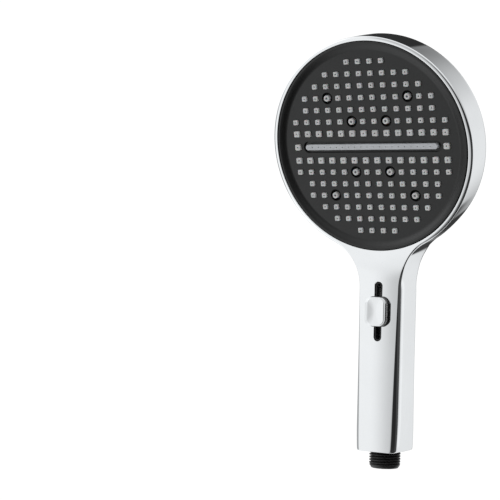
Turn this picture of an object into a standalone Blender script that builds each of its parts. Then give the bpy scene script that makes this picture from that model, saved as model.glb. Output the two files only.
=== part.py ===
"""Handheld shower head with a three-position slide diverter, built as an assembly of separate pieces.

Frame: metres, +Z up along the handle, origin at the centre of the threaded inlet's end face,
-Y is the spray side, and the outer shape is symmetric about X = 0.

Two helper frames are used. `place` maps (x, s, depth) onto the bent body: s runs up the front
surface from the inlet, depth runs from that surface into the body. HEAD_FRAME has its origin at
the centre of the spray face, +Y up the face and +Z out of it, along the jets.
"""

import math

import bmesh
import bpy
from mathutils import Matrix, Vector

MM = 0.001

# Body: a plate-like handle that bends forward into a round head.
HANDLE_FRONT = 15.7 * MM  # inlet axis to the front surface
HANDLE_HALF_WIDTH = 15.0 * MM
HANDLE_END_HALF_WIDTH = 14.4 * MM
HANDLE_END = 12.0 * MM  # height of the handle's lower end above the inlet's end face
END_CORNER = 1.4 * MM
END_TAPER_TOP = 33.0 * MM
NECK_BEND_HEIGHT = 138.4 * MM  # where the handle's front plane meets the plane of the face
NECK_BEND_RADIUS = 60.0 * MM
HEAD_TILT = math.radians(14.0)
HEAD_DISTANCE = 77.67 * MM  # from that meeting line to the centre of the face
HEAD_RADIUS = 73.0 * MM
NECK_FLARE_RADIUS = 34.0 * MM
BODY_DEPTH = 30.1 * MM
END_EXTRA_DEPTH = 2.0 * MM
HEAD_EXTRA_DEPTH = 0.4 * MM
BACK_CROWN = 1.5 * MM
FRONT_CROWN = 0.35 * MM
NECK_WEB = 1.8 * MM  # how far the back of the neck flares out beyond its front outline
NECK_WEB_HEIGHT = 146.0 * MM
NECK_WEB_REACH = 9.0 * MM
SHELL_WALL = 2.4 * MM
CAVITY_HALF_WIDTH = 12.4 * MM
GAP = 0.3 * MM  # clearance kept between neighbouring pieces
DRUM_SEGMENTS = 44  # shared by every round surface that seats in the head, so the facets line up

# Spray face, in the head frame.
FACE_RADIUS = 69.4 * MM
FACE_BORE_RADIUS = 69.8 * MM
FACE_FLAT_RADIUS = 63.7 * MM
LIP_WIDTH = 2.0 * MM
FACE_RECESS = 1.9 * MM  # the flat face lies this far below the lip
FACE_THICKNESS = 2.2 * MM
PITCH_X = 8.41 * MM
PITCH_Y = 7.88 * MM
MIDDLE_ROW_GAP = 1.125 * MM  # extra spacing on each side of the jet bar
ROW_COUNTS = {1: 14, 2: 14, 3: 12, 4: 12, 5: 10, 6: 8, 7: 4}
MIDDLE_ROW_COLUMN = 6.5
ROUND_PLACES = {(3.5, 4), (1.5, 2)}  # (column, row) of the massage jets in each quarter
NOZZLE_TIP = 3.5 * MM
NOZZLE_TIP_LARGE = 4.2 * MM
NOZZLE_DRAFT = 0.3 * MM
MASSAGE_RECESS_RADIUS = 4.0 * MM
GROOVE_DEPTH = 1.2 * MM
BAR_LENGTH = 97.0 * MM
BAR_WIDTH = 4.2 * MM
BAR_SURROUND_MARGIN = 2.0 * MM
BAR_JETS = 20
BAR_JET_PITCH = 4.57 * MM
SCREW_PLACES = [(x * 33.64 * MM, y * 28.70 * MM) for y in (1, -1) for x in (-1, 1)]
BOSS_RADIUS = 2.2 * MM

# Depths of the stacked plates behind the face, in the head frame (negative is into the head).
FACE_BACK = -(FACE_RECESS + FACE_THICKNESS)
MAT_FRONT = FACE_BACK - GAP
MAT_BACK = MAT_FRONT - 1.5 * MM
JET_PLATE_FRONT = MAT_BACK - GAP
JET_PLATE_BACK = JET_PLATE_FRONT - 3.0 * MM
GASKET_FRONT = JET_PLATE_BACK - GAP
GASKET_BACK = GASKET_FRONT - 1.0 * MM
CHANNEL_FRONT = GASKET_BACK - GAP
CHANNEL_BACK = CHANNEL_FRONT - 7.0 * MM
PORT_SEAL_FRONT = CHANNEL_BACK - GAP
PORT_SEAL_BACK = PORT_SEAL_FRONT - 0.9 * MM
MANIFOLD_FRONT = PORT_SEAL_BACK - GAP
PLATE_RADIUS = 65.0 * MM

# Slide diverter: slider in a slot in the front of the handle, spool in the waterway behind it.
SLOT_MIDDLE = 105.65 * MM
SLOT_LENGTH = 39.5 * MM
SLOT_WIDTH = 5.5 * MM
SLIDER_TRAVEL = 10.0 * MM  # each way from the middle position
CAP_WIDTH = 15.2 * MM
CAP_HEIGHT = 19.2 * MM
CAP_CORNER = 4.7 * MM
CAP_FRONT = -20.4 * MM
CAP_BASE = 19.1 * MM  # forward of the inlet's axis
GRIP_LIP = 0.5 * MM
PIN_HEIGHT = 90.0 * MM
BORE_RADIUS = 6.6 * MM
SPOOL_RADIUS = 6.3 * MM
SEAL_WIRE = 0.6 * MM
SPOOL_SEAL_HEIGHTS = [63.9 * MM, 66.8 * MM, 112.4 * MM, 115.8 * MM]
SPOOL_OUTLET = 114.1 * MM
CORE_BACK = 11.6 * MM
CORE_FRONT = -8.6 * MM
CORE_TOP = 128.0 * MM
CORE_HALF_WIDTH = 11.8 * MM
CHANNELS = [(-8.3 * MM, 8.0 * MM), (0.0, 9.3 * MM), (8.3 * MM, 8.0 * MM)]
CHANNEL_RADIUS = 1.8 * MM
CHANNEL_PORTS = [SPOOL_OUTLET - SLIDER_TRAVEL, SPOOL_OUTLET + SLIDER_TRAVEL, SPOOL_OUTLET]
MANIFOLD_OUTLETS = [-52.0 * MM, 0.0, -26.0 * MM]  # up the face, in the head frame

# Inlet: G 1/2 male thread.
THREAD_MAJOR_RADIUS = 20.955 / 2 * MM
THREAD_PITCH = 25.4 / 14 * MM
THREAD_ROOT_RADIUS = THREAD_MAJOR_RADIUS - 1.16 * MM
INLET_BORE_RADIUS = 7.3 * MM
SPIGOT_RADIUS = 8.7 * MM
SPIGOT_TOP = 27.5 * MM
VALVE_GUIDE_HEIGHT = 23.3 * MM

BEND_TANGENT = NECK_BEND_RADIUS * math.tan(HEAD_TILT / 2)
BEND_START = NECK_BEND_HEIGHT - BEND_TANGENT
BEND_END = BEND_START + NECK_BEND_RADIUS * HEAD_TILT
HEAD_S = BEND_END + HEAD_DISTANCE - BEND_TANGENT  # the face's centre, measured along the front


def smoothstep(low, high, value):
    t = min(1.0, max(0.0, (value - low) / (high - low)))
    return t * t * (3 - 2 * t)


def place(x, s, depth):
    """The point at x, s along the front surface and depth below it."""
    angle = min(max(s - BEND_START, 0.0) / NECK_BEND_RADIUS, HEAD_TILT)
    y = -HANDLE_FRONT - NECK_BEND_RADIUS * (1 - math.cos(angle))
    z = min(s, BEND_START) + NECK_BEND_RADIUS * math.sin(angle)
    beyond = max(s - BEND_END, 0.0)
    y += -beyond * math.sin(HEAD_TILT) + depth * math.cos(angle)
    z += beyond * math.cos(HEAD_TILT) + depth * math.sin(angle)
    return Vector((x, y, z))


HEAD_FRAME = Matrix.Translation(place(0, HEAD_S, 0)) @ Matrix.Rotation(
    math.radians(90) + HEAD_TILT, 4, "X"
)
TO_FRONT = Matrix.Rotation(math.radians(90), 4, "X")  # local +Z becomes -Y, local +Y becomes +Z


# ---------------------------------------------------------------- materials and mesh helpers


def make_material(name, colour, roughness, metallic=0.0):
    material = bpy.data.materials.new(name)
    material.use_nodes = True
    shader = material.node_tree.nodes["Principled BSDF"]
    shader.inputs["Base Color"].default_value = (*colour, 1.0)
    shader.inputs["Roughness"].default_value = roughness
    shader.inputs["Metallic"].default_value = metallic
    material.diffuse_color = (*colour, 1.0)
    return material


def make_object(name, bm, material, frame=Matrix(), smooth_angle=35.0):
    """Turns the bmesh into a linked object whose axes are those of frame."""
    bmesh.ops.recalc_face_normals(bm, faces=bm.faces)
    mesh = bpy.data.meshes.new(name)
    bm.to_mesh(mesh)
    bm.free()
    mesh.shade_smooth()
    mesh.set_sharp_from_angle(angle=math.radians(smooth_angle))
    obj = bpy.data.objects.new(name, mesh)
    if material:
        mesh.materials.append(material)
    bpy.context.scene.collection.objects.link(obj)
    obj.matrix_world = frame
    return obj


def set_origin(obj, point):
    """Moves the object's origin to a world point, leaving its shape where it is."""
    shift = obj.matrix_world.inverted() @ Vector(point)
    obj.data.transform(Matrix.Translation(-shift))
    obj.matrix_world = obj.matrix_world @ Matrix.Translation(shift)


def combine(target, other, operation):
    """Adds a Boolean of target with other, which becomes a hidden construction solid."""
    modifier = target.modifiers.new(f"{operation.lower()}_{other.name}", "BOOLEAN")
    modifier.operation = operation
    modifier.object = other
    modifier.solver = "EXACT"
    other.hide_render = True
    other.display_type = "WIRE"


def cut(target, cutter):
    combine(target, cutter, "DIFFERENCE")


def join(target, other):
    combine(target, other, "UNION")


def add_band(bm, lower, upper):
    """Joins two rings of vertices; a ring of one vertex is a pole."""
    count = max(len(lower), len(upper))
    for k in range(count):
        after = (k + 1) % count
        if len(lower) == 1 and len(upper) == 1:
            return
        if len(lower) == 1:
            bm.faces.new((lower[0], upper[after], upper[k]))
        elif len(upper) == 1:
            bm.faces.new((lower[k], lower[after], upper[0]))
        else:
            bm.faces.new((lower[k], lower[after], upper[after], upper[k]))


def circle(radius, segments, centre=(0, 0), start=0.0):
    angles = [start + 2 * math.pi * k / segments for k in range(segments)]
    return [(centre[0] + radius * math.cos(a), centre[1] + radius * math.sin(a)) for a in angles]


def square(side, centre=(0, 0)):
    return circle(side / math.sqrt(2), 4, centre, math.radians(45))


def rounded_rectangle(width, height, radius, centre=(0, 0), steps=3):
    outline = []
    for quarter, (sx, sy) in enumerate(((1, 1), (-1, 1), (-1, -1), (1, -1))):
        cx = centre[0] + sx * (width / 2 - radius)
        cy = centre[1] + sy * (height / 2 - radius)
        for k in range(steps + 1):
            angle = math.radians(90) * (quarter + k / steps)
            outline.append((cx + radius * math.cos(angle), cy + radius * math.sin(angle)))
    return outline


def stadium(length, width, steps=5):
    """A slot shape along X; both straight sides come from the repeated end points of the arcs."""
    reach = (length - width) / 2
    outline = []
    for side, start in ((1, -90), (-1, 90)):
        for k in range(steps + 1):
            angle = math.radians(start + 180 * k / steps)
            x = side * reach + width / 2 * math.cos(angle)
            outline.append((x, width / 2 * math.sin(angle)))
    return outline


def add_lofted(bm, sections):
    """A closed solid through equal-length loops of points, capped at both ends."""
    rings = [[bm.verts.new(point) for point in section] for section in sections]
    for lower, upper in zip(rings, rings[1:]):
        add_band(bm, lower, upper)
    bm.faces.new(rings[0][::-1])
    bm.faces.new(rings[-1])


def add_prism(bm, outline, low, high):
    add_lofted(bm, [[(x, y, z) for x, y in outline] for z in (low, high)])


def prism(name, outlines, low, high, material=None, frame=Matrix()):
    """One object holding a prism for each outline."""
    bm = bmesh.new()
    for outline in outlines:
        add_prism(bm, outline, low, high)
    return make_object(name, bm, material, frame)


def loft(name, sections, material=None, frame=Matrix()):
    """A loft through (outline, height) pairs."""
    bm = bmesh.new()
    add_lofted(bm, [[(x, y, z) for x, y in outline] for outline, z in sections])
    return make_object(name, bm, material, frame)


def turned(name, profile, segments, material=None, frame=Matrix()):
    """A solid of revolution about local Z from a closed profile of (radius, height) points."""
    bm = bmesh.new()
    rings = []
    for radius, height in profile:
        outline = circle(radius, segments) if radius > 0 else [(0.0, 0.0)]
        rings.append([bm.verts.new((x, y, height)) for x, y in outline])
    for lower, upper in zip(rings, rings[1:] + rings[:1]):
        add_band(bm, lower, upper)
    return make_object(name, bm, material, frame)


def seal_ring(name, radius, wire, height, material, segments=12, frame=Matrix()):
    profile = [(radius + x, height + z) for x, z in circle(wire, 6)]
    return turned(name, profile, segments, material, frame)


def rod(name, radius, low, high, segments=12, material=None, frame=Matrix()):
    return turned(name, [(0, low), (radius, low), (radius, high), (0, high)], segments, material, frame)


# ---------------------------------------------------------------- body shell


def body_depth(s):
    toward_end = max(80 * MM - s, 0.0) / (80 * MM - HANDLE_END)
    in_head = smoothstep(130 * MM, 160 * MM, s)
    return BODY_DEPTH + END_EXTRA_DEPTH * toward_end**2 + HEAD_EXTRA_DEPTH * in_head


def half_width(s):
    toward_end = max(END_TAPER_TOP - s, 0.0) / (END_TAPER_TOP - HANDLE_END)
    return HANDLE_HALF_WIDTH - (HANDLE_HALF_WIDTH - HANDLE_END_HALF_WIDTH) * toward_end**2


def half_outline(side_steps=5, flare_steps=6, head_steps=17, corner=END_CORNER):
    """Points (x, s) and outward normals up the right side, from the end corner to the top."""
    points = []
    for angle in (-90, -45, 0):
        nx, ns = math.cos(math.radians(angle)), math.sin(math.radians(angle))
        x = HANDLE_END_HALF_WIDTH - corner + corner * nx
        points.append((x, HANDLE_END + corner + corner * ns, nx, ns))
    flare_x = HANDLE_HALF_WIDTH + NECK_FLARE_RADIUS
    flare_s = HEAD_S - math.sqrt((HEAD_RADIUS + NECK_FLARE_RADIUS) ** 2 - flare_x**2)
    for k in range(1, side_steps):
        s = HANDLE_END + corner + (flare_s - HANDLE_END - corner) * k / side_steps
        points.append((half_width(s), s, 1.0, 0.0))
    touch = math.atan2(HEAD_S - flare_s, -flare_x)
    for k in range(flare_steps):
        angle = math.pi + (touch - math.pi) * k / flare_steps
        nx, ns = -math.cos(angle), -math.sin(angle)
        points.append((flare_x - NECK_FLARE_RADIUS * nx, flare_s - NECK_FLARE_RADIUS * ns, nx, ns))
    for k in range(head_steps + 1):
        angle = (touch - math.pi) + (math.pi * 1.5 - touch) * k / head_steps
        nx, ns = math.cos(angle), math.sin(angle)
        points.append((HEAD_RADIUS * nx, HEAD_S + HEAD_RADIUS * ns, nx, ns))
    return points


def edge_rings(s, front_steps=2, back_steps=3):
    """(side inset, end inset, depth) of each ring of the body's skin, from front to back."""
    in_head = smoothstep(118 * MM, 145 * MM, s)
    up_handle = min(1.0, max(0.0, (s - 30 * MM) / (90 * MM)))
    front_width = 3.2 * MM - 2.4 * MM * up_handle + 0.8 * MM * in_head
    front_depth = 3.0 * MM - 1.4 * MM * in_head
    back_round = 4.5 * MM + 3.5 * MM * in_head
    draft = 0.012 + 0.043 * in_head
    depth = body_depth(s)
    web = NECK_WEB * math.exp(-(((s - NECK_WEB_HEIGHT) / NECK_WEB_REACH) ** 2))
    wall_inset = draft * (depth - back_round - front_depth) - web
    rings = []
    for k in range(front_steps + 1):
        angle = math.radians(90) * k / front_steps
        amount = 1 - math.sin(angle)
        rings.append((front_width * amount, 0.5 * MM * amount, front_depth * (1 - math.cos(angle))))
    for k in range(back_steps + 1):
        angle = math.radians(90) * k / back_steps
        amount = 1 - math.cos(angle)
        inset = wall_inset + back_round * amount
        rings.append((inset, 0.8 * MM * amount, depth - back_round * (1 - math.sin(angle))))
    return rings


def add_cap(bm, left, right, columns, crown):
    """Fills one side of the skin with rows from its left points to its right points."""
    rows = [left]
    for low, high in right:
        x, s, depth = high[1]
        row = [low[0]]
        for k in range(1, columns):
            part = -x + 2 * x * k / columns
            row.append(bm.verts.new(place(part, s, depth + crown(part, x, s))))
        rows.append(row + [high[0]])
    for lower, upper in zip(rows, rows[1:]):
        for k in range(columns):
            bm.faces.new((lower[k], lower[k + 1], upper[k + 1], upper[k]))
    return rows[-1]


def body_solid(material, columns=4):
    """The outside of the shell as one solid: nested rings of the outline between two caps."""
    half = half_outline()
    bm = bmesh.new()
    rings = []
    for index in range(len(edge_rings(0))):
        right = []
        for x, s, nx, ns in half:
            side, end, depth = edge_rings(s)[index]
            if s < HANDLE_END + 1.01 * END_CORNER:
                right.append((x - side, s + end, depth))
            else:
                right.append((max(x - nx * side, 0.0), s - ns * side, depth))
        x0, s0, depth0 = right[0]
        end_row = [(-x0 + 2 * x0 * k / columns, s0, depth0) for k in range(columns + 1)]
        loop = end_row + right[1:] + [(-x, s, d) for x, s, d in right[-2:0:-1]]
        verts = [bm.verts.new(place(*point)) for point in loop]
        rings.append((verts, right))
    for (lower, _), (upper, _) in zip(rings, rings[1:]):
        add_band(bm, lower, upper)

    def front_crown(x, edge, s):
        handle = 1 - smoothstep(120 * MM, 143 * MM, s)
        return -FRONT_CROWN * handle * (edge**2 - x**2) / HANDLE_HALF_WIDTH**2

    def back_crown(x, edge, s):
        return BACK_CROWN * (edge**2 - x**2) / HEAD_RADIUS**2

    for (verts, right), crown in ((rings[0], front_crown), (rings[-1], back_crown)):
        pairs = []
        for k in range(1, len(right) - 1):
            high = (verts[columns + k], right[k])
            pairs.append(((verts[-k], None), high))
        last_row = add_cap(bm, verts[: columns + 1], pairs, columns, crown)
        top = verts[columns + len(right) - 1]
        for k in range(columns):
            bm.faces.new((last_row[k], last_row[k + 1], top))
    return make_object("body_shell", bm, material, smooth_angle=50)


def cavity_front(s):
    """Depth of the handle cavity's front wall; it drops behind the face plate at the neck."""
    return SHELL_WALL + 13.1 * MM * smoothstep(130 * MM, 143.5 * MM, s)


def bent_section(s, half, front, back, radius):
    middle = (front + back) / 2
    outline = rounded_rectangle(2 * half, back - front, radius, (0, middle))
    return [place(x, s, depth) for x, depth in outline]


def handle_cavity():
    heights = [HANDLE_END - 3 * MM, 40 * MM, 80 * MM, 130 * MM, 134 * MM, 137 * MM, 140 * MM]
    heights += [143.5 * MM, 150 * MM, 158 * MM]
    bm = bmesh.new()
    sections = []
    for s in heights:
        back = body_depth(max(s, HANDLE_END)) - SHELL_WALL
        sections.append(bent_section(s, CAVITY_HALF_WIDTH, cavity_front(s), back, 3 * MM))
    add_lofted(bm, sections)
    return make_object("handle_cavity_cutter", bm, None)


def head_cavity():
    floor = -(BODY_DEPTH + HEAD_EXTRA_DEPTH - SHELL_WALL)
    bore = FACE_BORE_RADIUS
    groove = bore + 0.9 * MM
    profile = [
        (0, 2 * MM),
        (bore, 2 * MM),
        (bore, -9.8 * MM),
        (groove, -10.6 * MM),
        (groove, -11.4 * MM),
        (bore, -12.2 * MM),
        (68.6 * MM, -20.0 * MM),
        (66.0 * MM, floor + 3.0 * MM),
        (62.0 * MM, floor),
        (0, floor),
    ]
    return turned("head_cavity_cutter", profile, DRUM_SEGMENTS, None, HEAD_FRAME)


def slot_outline(margin=0.0):
    """The slider slot's shape in the XZ plane, as (x, z) points; margin makes it smaller."""
    shape = stadium(SLOT_LENGTH - 2 * margin, SLOT_WIDTH - 2 * margin)
    return [(-y, SLOT_MIDDLE + x) for x, y in shape]


def build_shell(chrome):
    shell = body_solid(chrome)
    cut(shell, head_cavity())
    cut(shell, handle_cavity())
    cut(shell, prism("slot_cutter", [slot_outline()], 12 * MM, 18 * MM, None, TO_FRONT))
    return shell


# ---------------------------------------------------------------- spray face


def nozzle_places():
    """(x, y, kind) of each nozzle, kind being small, large or round."""
    places = []
    for row, count in ROW_COUNTS.items():
        for side in (1, -1):
            y = side * (row * PITCH_Y + MIDDLE_ROW_GAP)
            for k in range(count):
                column = k - (count - 1) / 2
                kind = "large" if row == 1 else "small"
                if (abs(column), row) in ROUND_PLACES:
                    kind = "round"
                places.append((column * PITCH_X, y, kind))
    for side in (1, -1):
        places.append((side * MIDDLE_ROW_COLUMN * PITCH_X, 0.0, "large"))
    return places


def nozzle_outline(place_and_kind, grow):
    x, y, kind = place_and_kind
    if kind == "round":
        return circle(NOZZLE_TIP_LARGE / 2 + grow, 8, (x, y), math.radians(22.5))
    tip = NOZZLE_TIP_LARGE if kind == "large" else NOZZLE_TIP
    return square(tip + 2 * grow, (x, y))


def build_face_plate(black):
    lip = FACE_RADIUS - LIP_WIDTH
    skirt = FACE_RADIUS - 2.6 * MM
    profile = [
        (0, -FACE_RECESS),
        (FACE_FLAT_RADIUS, -FACE_RECESS),
        (lip, 0),
        (FACE_RADIUS, 0),
        (FACE_RADIUS, -6.2 * MM),
        (FACE_RADIUS - 1.9 * MM, -6.2 * MM),
        (FACE_RADIUS - 1.9 * MM, -8.4 * MM),
        (FACE_RADIUS, -8.4 * MM),
        (FACE_RADIUS, -10.2 * MM),
        (FACE_RADIUS + 0.8 * MM, -11.0 * MM),
        (FACE_RADIUS, -11.8 * MM),
        (skirt, -11.8 * MM),
        (skirt, FACE_BACK),
        (0, FACE_BACK),
    ]
    plate = turned("face_plate", profile, DRUM_SEGMENTS, black, HEAD_FRAME)
    bosses = [circle(BOSS_RADIUS, 8, place) for place in SCREW_PLACES]
    boss_end = JET_PLATE_BACK + GAP
    join(plate, prism("boss_solids", bosses, boss_end, FACE_BACK + GAP, None, HEAD_FRAME))
    pilots = [circle(1.4 * MM, 6, place) for place in SCREW_PLACES]
    cut(plate, prism("pilot_cutters", pilots, boss_end - MM, FACE_BACK - GAP, None, HEAD_FRAME))

    places = nozzle_places()
    holes = [nozzle_outline(item, NOZZLE_DRAFT / 2 + GAP) for item in places]
    cut(plate, prism("nozzle_hole_cutters", holes, FACE_BACK - MM, MM, None, HEAD_FRAME))
    rings = [circle(MASSAGE_RECESS_RADIUS, 12, item[:2]) for item in places if item[2] == "round"]
    groove_floor = -FACE_RECESS - GROOVE_DEPTH
    surround = stadium(BAR_LENGTH + 2 * BAR_SURROUND_MARGIN, BAR_WIDTH + 2 * BAR_SURROUND_MARGIN)
    grooves = rings + [surround]
    cut(plate, prism("groove_cutters", grooves, groove_floor, MM, None, HEAD_FRAME))
    opening = stadium(BAR_LENGTH + 2 * GAP, BAR_WIDTH + 2 * GAP)
    cut(plate, prism("bar_cutter", [opening], FACE_BACK - MM, MM, None, HEAD_FRAME))
    return plate


def build_nozzle_mat(silicone):
    """A flat mat with tapered nozzles that stand through the face plate's holes."""
    base = circle(PLATE_RADIUS - MM, DRUM_SEGMENTS)
    mat = prism("nozzle_mat", [base], MAT_BACK, MAT_FRONT, silicone, HEAD_FRAME)
    bm = bmesh.new()
    for item in nozzle_places():
        foot = nozzle_outline(item, NOZZLE_DRAFT / 2)
        tip = nozzle_outline(item, 0)
        sections = [(foot, MAT_FRONT - GAP), (tip, 0)]
        add_lofted(bm, [[(x, y, z) for x, y in outline] for outline, z in sections])
    join(mat, make_object("nozzle_solids", bm, None, HEAD_FRAME))
    holes = [circle(BOSS_RADIUS + GAP, 8, place) for place in SCREW_PLACES]
    holes.append(stadium(BAR_LENGTH + 4.0 * MM, BAR_WIDTH + 4.4 * MM))
    cut(mat, prism("mat_hole_cutters", holes, MAT_BACK - MM, MAT_FRONT + MM, None, HEAD_FRAME))
    return mat


def build_jet_bar(grey):
    """The bar of fine jets; its flange lies in the mat's slot, behind the face plate."""
    outline, top = stadium(BAR_LENGTH, BAR_WIDTH), -0.4 * MM
    bar = prism("curtain_jet_bar", [outline], MAT_FRONT - GAP, top, grey, HEAD_FRAME)
    flange = stadium(BAR_LENGTH + 3.4 * MM, BAR_WIDTH + 3.8 * MM)
    join(bar, prism("bar_flange", [flange], MAT_BACK, MAT_FRONT, None, HEAD_FRAME))
    first = -(BAR_JETS - 1) / 2
    jets = [square(0.9 * MM, ((first + k) * BAR_JET_PITCH, 0)) for k in range(BAR_JETS)]
    cut(bar, prism("bar_jet_cutters", jets, MAT_BACK - MM, MM, None, HEAD_FRAME))
    return bar


def zone_cutters(name, low, high):
    """Cutters for the three water zones: outer ring, inner ring and the jet bar's trough."""
    dividers = [stadium(2 * PLATE_RADIUS + 4 * MM, 14 * MM)]
    wall = prism(f"{name}_wall", dividers, low - MM, high + MM, None, HEAD_FRAME)
    pillars = [circle(3.2 * MM, 8, place) for place in SCREW_PLACES]
    pillar = prism(f"{name}_pillars", pillars, low - MM, high + MM, None, HEAD_FRAME)
    outer = [(42 * MM, low), (62 * MM, low), (62 * MM, high), (42 * MM, high)]
    outer_zone = turned(f"{name}_outer", outer, 30, None, HEAD_FRAME)
    cut(outer_zone, wall)
    cut(outer_zone, pillar)
    inner_zone = rod(f"{name}_inner", 37 * MM, low, high, 22, None, HEAD_FRAME)
    cut(inner_zone, wall)
    trough = stadium(BAR_LENGTH - MM, 8 * MM)
    return [outer_zone, inner_zone, prism(f"{name}_trough", [trough], low, high, None, HEAD_FRAME)]


def plate_blank(name, back, front, hole_radius, material):
    """A round plate with clearance holes for the four screws or their bosses."""
    plate = rod(name, PLATE_RADIUS, back, front, DRUM_SEGMENTS, material, HEAD_FRAME)
    holes = [circle(hole_radius, 8, place) for place in SCREW_PLACES]
    cut(plate, prism(f"{name}_screw_cutters", holes, back - MM, front + MM, None, HEAD_FRAME))
    return plate


def jet_feed_places():
    outer = [(51 * MM, math.radians(15 + 30 * k)) for k in range(12)]
    inner = [(24 * MM, math.radians(30 + 60 * k)) for k in range(6)]
    rings = [(r * math.cos(a), r * math.sin(a)) for r, a in outer + inner]
    return rings + [(k * 18 * MM, 0.0) for k in range(-2, 3)]


def build_plates(plastic, rubber):
    """The jet plate, the gasket and the channel plate that share the water between the zones."""
    jet_plate = plate_blank("jet_plate", JET_PLATE_BACK, JET_PLATE_FRONT, BOSS_RADIUS + GAP, plastic)
    feeds = [square(3 * MM, place) for place in jet_feed_places()]
    low, high = JET_PLATE_BACK - MM, JET_PLATE_FRONT + MM
    cut(jet_plate, prism("feed_cutters", feeds, low, high, None, HEAD_FRAME))

    gasket = plate_blank("channel_gasket", GASKET_BACK, GASKET_FRONT, 1.5 * MM, rubber)
    for cutter in zone_cutters("gasket_zone", GASKET_BACK - MM, GASKET_FRONT + MM):
        cut(gasket, cutter)

    channel_plate = plate_blank("channel_plate", CHANNEL_BACK, CHANNEL_FRONT, 1.5 * MM, plastic)
    for cutter in zone_cutters("channel_zone", CHANNEL_FRONT - 4.5 * MM, CHANNEL_FRONT + MM):
        cut(channel_plate, cutter)
    ports = [circle(CHANNEL_RADIUS, 8, (x, y)) for (x, _), y in zip(CHANNELS, MANIFOLD_OUTLETS)]
    low, high = CHANNEL_BACK - MM, CHANNEL_FRONT - 4 * MM
    cut(channel_plate, prism("port_cutters", ports, low, high, None, HEAD_FRAME))


def build_plate_screws(steel):
    """Four screws from behind the channel plate into the face plate's bosses."""
    shank, head = 1.1 * MM, 2.6 * MM
    head_front = CHANNEL_BACK - GAP
    profile = [
        (0, FACE_BACK - 0.7 * MM),
        (shank, FACE_BACK - 1.2 * MM),
        (shank, head_front),
        (head, head_front),
        (head, head_front - 1.2 * MM),
        (1.8 * MM, head_front - 1.8 * MM),
        (0, head_front - 1.8 * MM),
    ]
    for number, (x, y) in enumerate(SCREW_PLACES, 1):
        frame = HEAD_FRAME @ Matrix.Translation((x, y, 0))
        turned(f"plate_screw_{number}", profile, 8, steel, frame)


# ---------------------------------------------------------------- waterway


def manifold_front(s):
    """Depth of the manifold's front; it follows the cavity back behind the plates."""
    start = CORE_FRONT + HANDLE_FRONT
    return start + (-MANIFOLD_FRONT - start) * smoothstep(130 * MM, 143 * MM, s)


def build_manifold(plastic):
    """Three ducts in one bent block, from the top of the core to the back of the head."""
    bottom = CORE_TOP + 1.7 * MM
    top = HEAD_S + 5 * MM
    back = CORE_BACK + HANDLE_FRONT - 0.1 * MM
    heights = [bottom, 132 * MM, 135 * MM, 138 * MM, 141 * MM, 143.5 * MM, BEND_END, top]
    half = CORE_HALF_WIDTH
    bm = bmesh.new()
    add_lofted(bm, [bent_section(s, half, manifold_front(s), back, 2 * MM) for s in heights])
    manifold = make_object("waterway_manifold", bm, plastic)

    bm = bmesh.new()
    duct_depth = 23.2 * MM
    for (x, y), outlet in zip(CHANNELS, MANIFOLD_OUTLETS):
        start_depth = y + HANDLE_FRONT
        end = HEAD_S + outlet + CHANNEL_RADIUS
        stations = [(bottom - MM, start_depth), (132 * MM, start_depth)]
        stations += [(s, duct_depth) for s in (138 * MM, BEND_END, end)]
        sections = []
        for s, depth in stations:
            sections.append([place(px, s, pd) for px, pd in circle(CHANNEL_RADIUS, 8, (x, depth))])
        add_lofted(bm, sections)
    cut(manifold, make_object("duct_cutters", bm, None))
    outlets = [circle(CHANNEL_RADIUS, 8, (x, y)) for (x, _), y in zip(CHANNELS, MANIFOLD_OUTLETS)]
    high = MANIFOLD_FRONT + MM
    cut(manifold, prism("outlet_cutters", outlets, -duct_depth, high, None, HEAD_FRAME))
    return manifold


def build_manifold_seals(rubber):
    """Flat gaskets with one hole for each duct, at the manifold's two ends."""
    half = CORE_HALF_WIDTH - GAP
    middle = (0, (CORE_BACK + CORE_FRONT) / 2)
    outline = rounded_rectangle(2 * half, CORE_BACK - CORE_FRONT - 2 * GAP, 2 * MM, middle)
    lower = prism("core_gasket", [outline], CORE_TOP + GAP, CORE_TOP + 1.3 * MM, rubber)
    holes = [circle(CHANNEL_RADIUS, 8, place) for place in CHANNELS]
    cut(lower, prism("core_gasket_cutters", holes, CORE_TOP, CORE_TOP + 2 * MM))

    low, high = min(MANIFOLD_OUTLETS) - 4 * MM, 4 * MM
    outline = rounded_rectangle(2 * half, high - low, 2 * MM, (0, (low + high) / 2))
    upper = prism("manifold_gasket", [outline], PORT_SEAL_BACK, PORT_SEAL_FRONT, rubber, HEAD_FRAME)
    holes = [circle(CHANNEL_RADIUS, 8, (x, y)) for (x, _), y in zip(CHANNELS, MANIFOLD_OUTLETS)]
    low, high = PORT_SEAL_BACK - MM, PORT_SEAL_FRONT + MM
    cut(upper, prism("manifold_gasket_cutters", holes, low, high, None, HEAD_FRAME))


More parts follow.
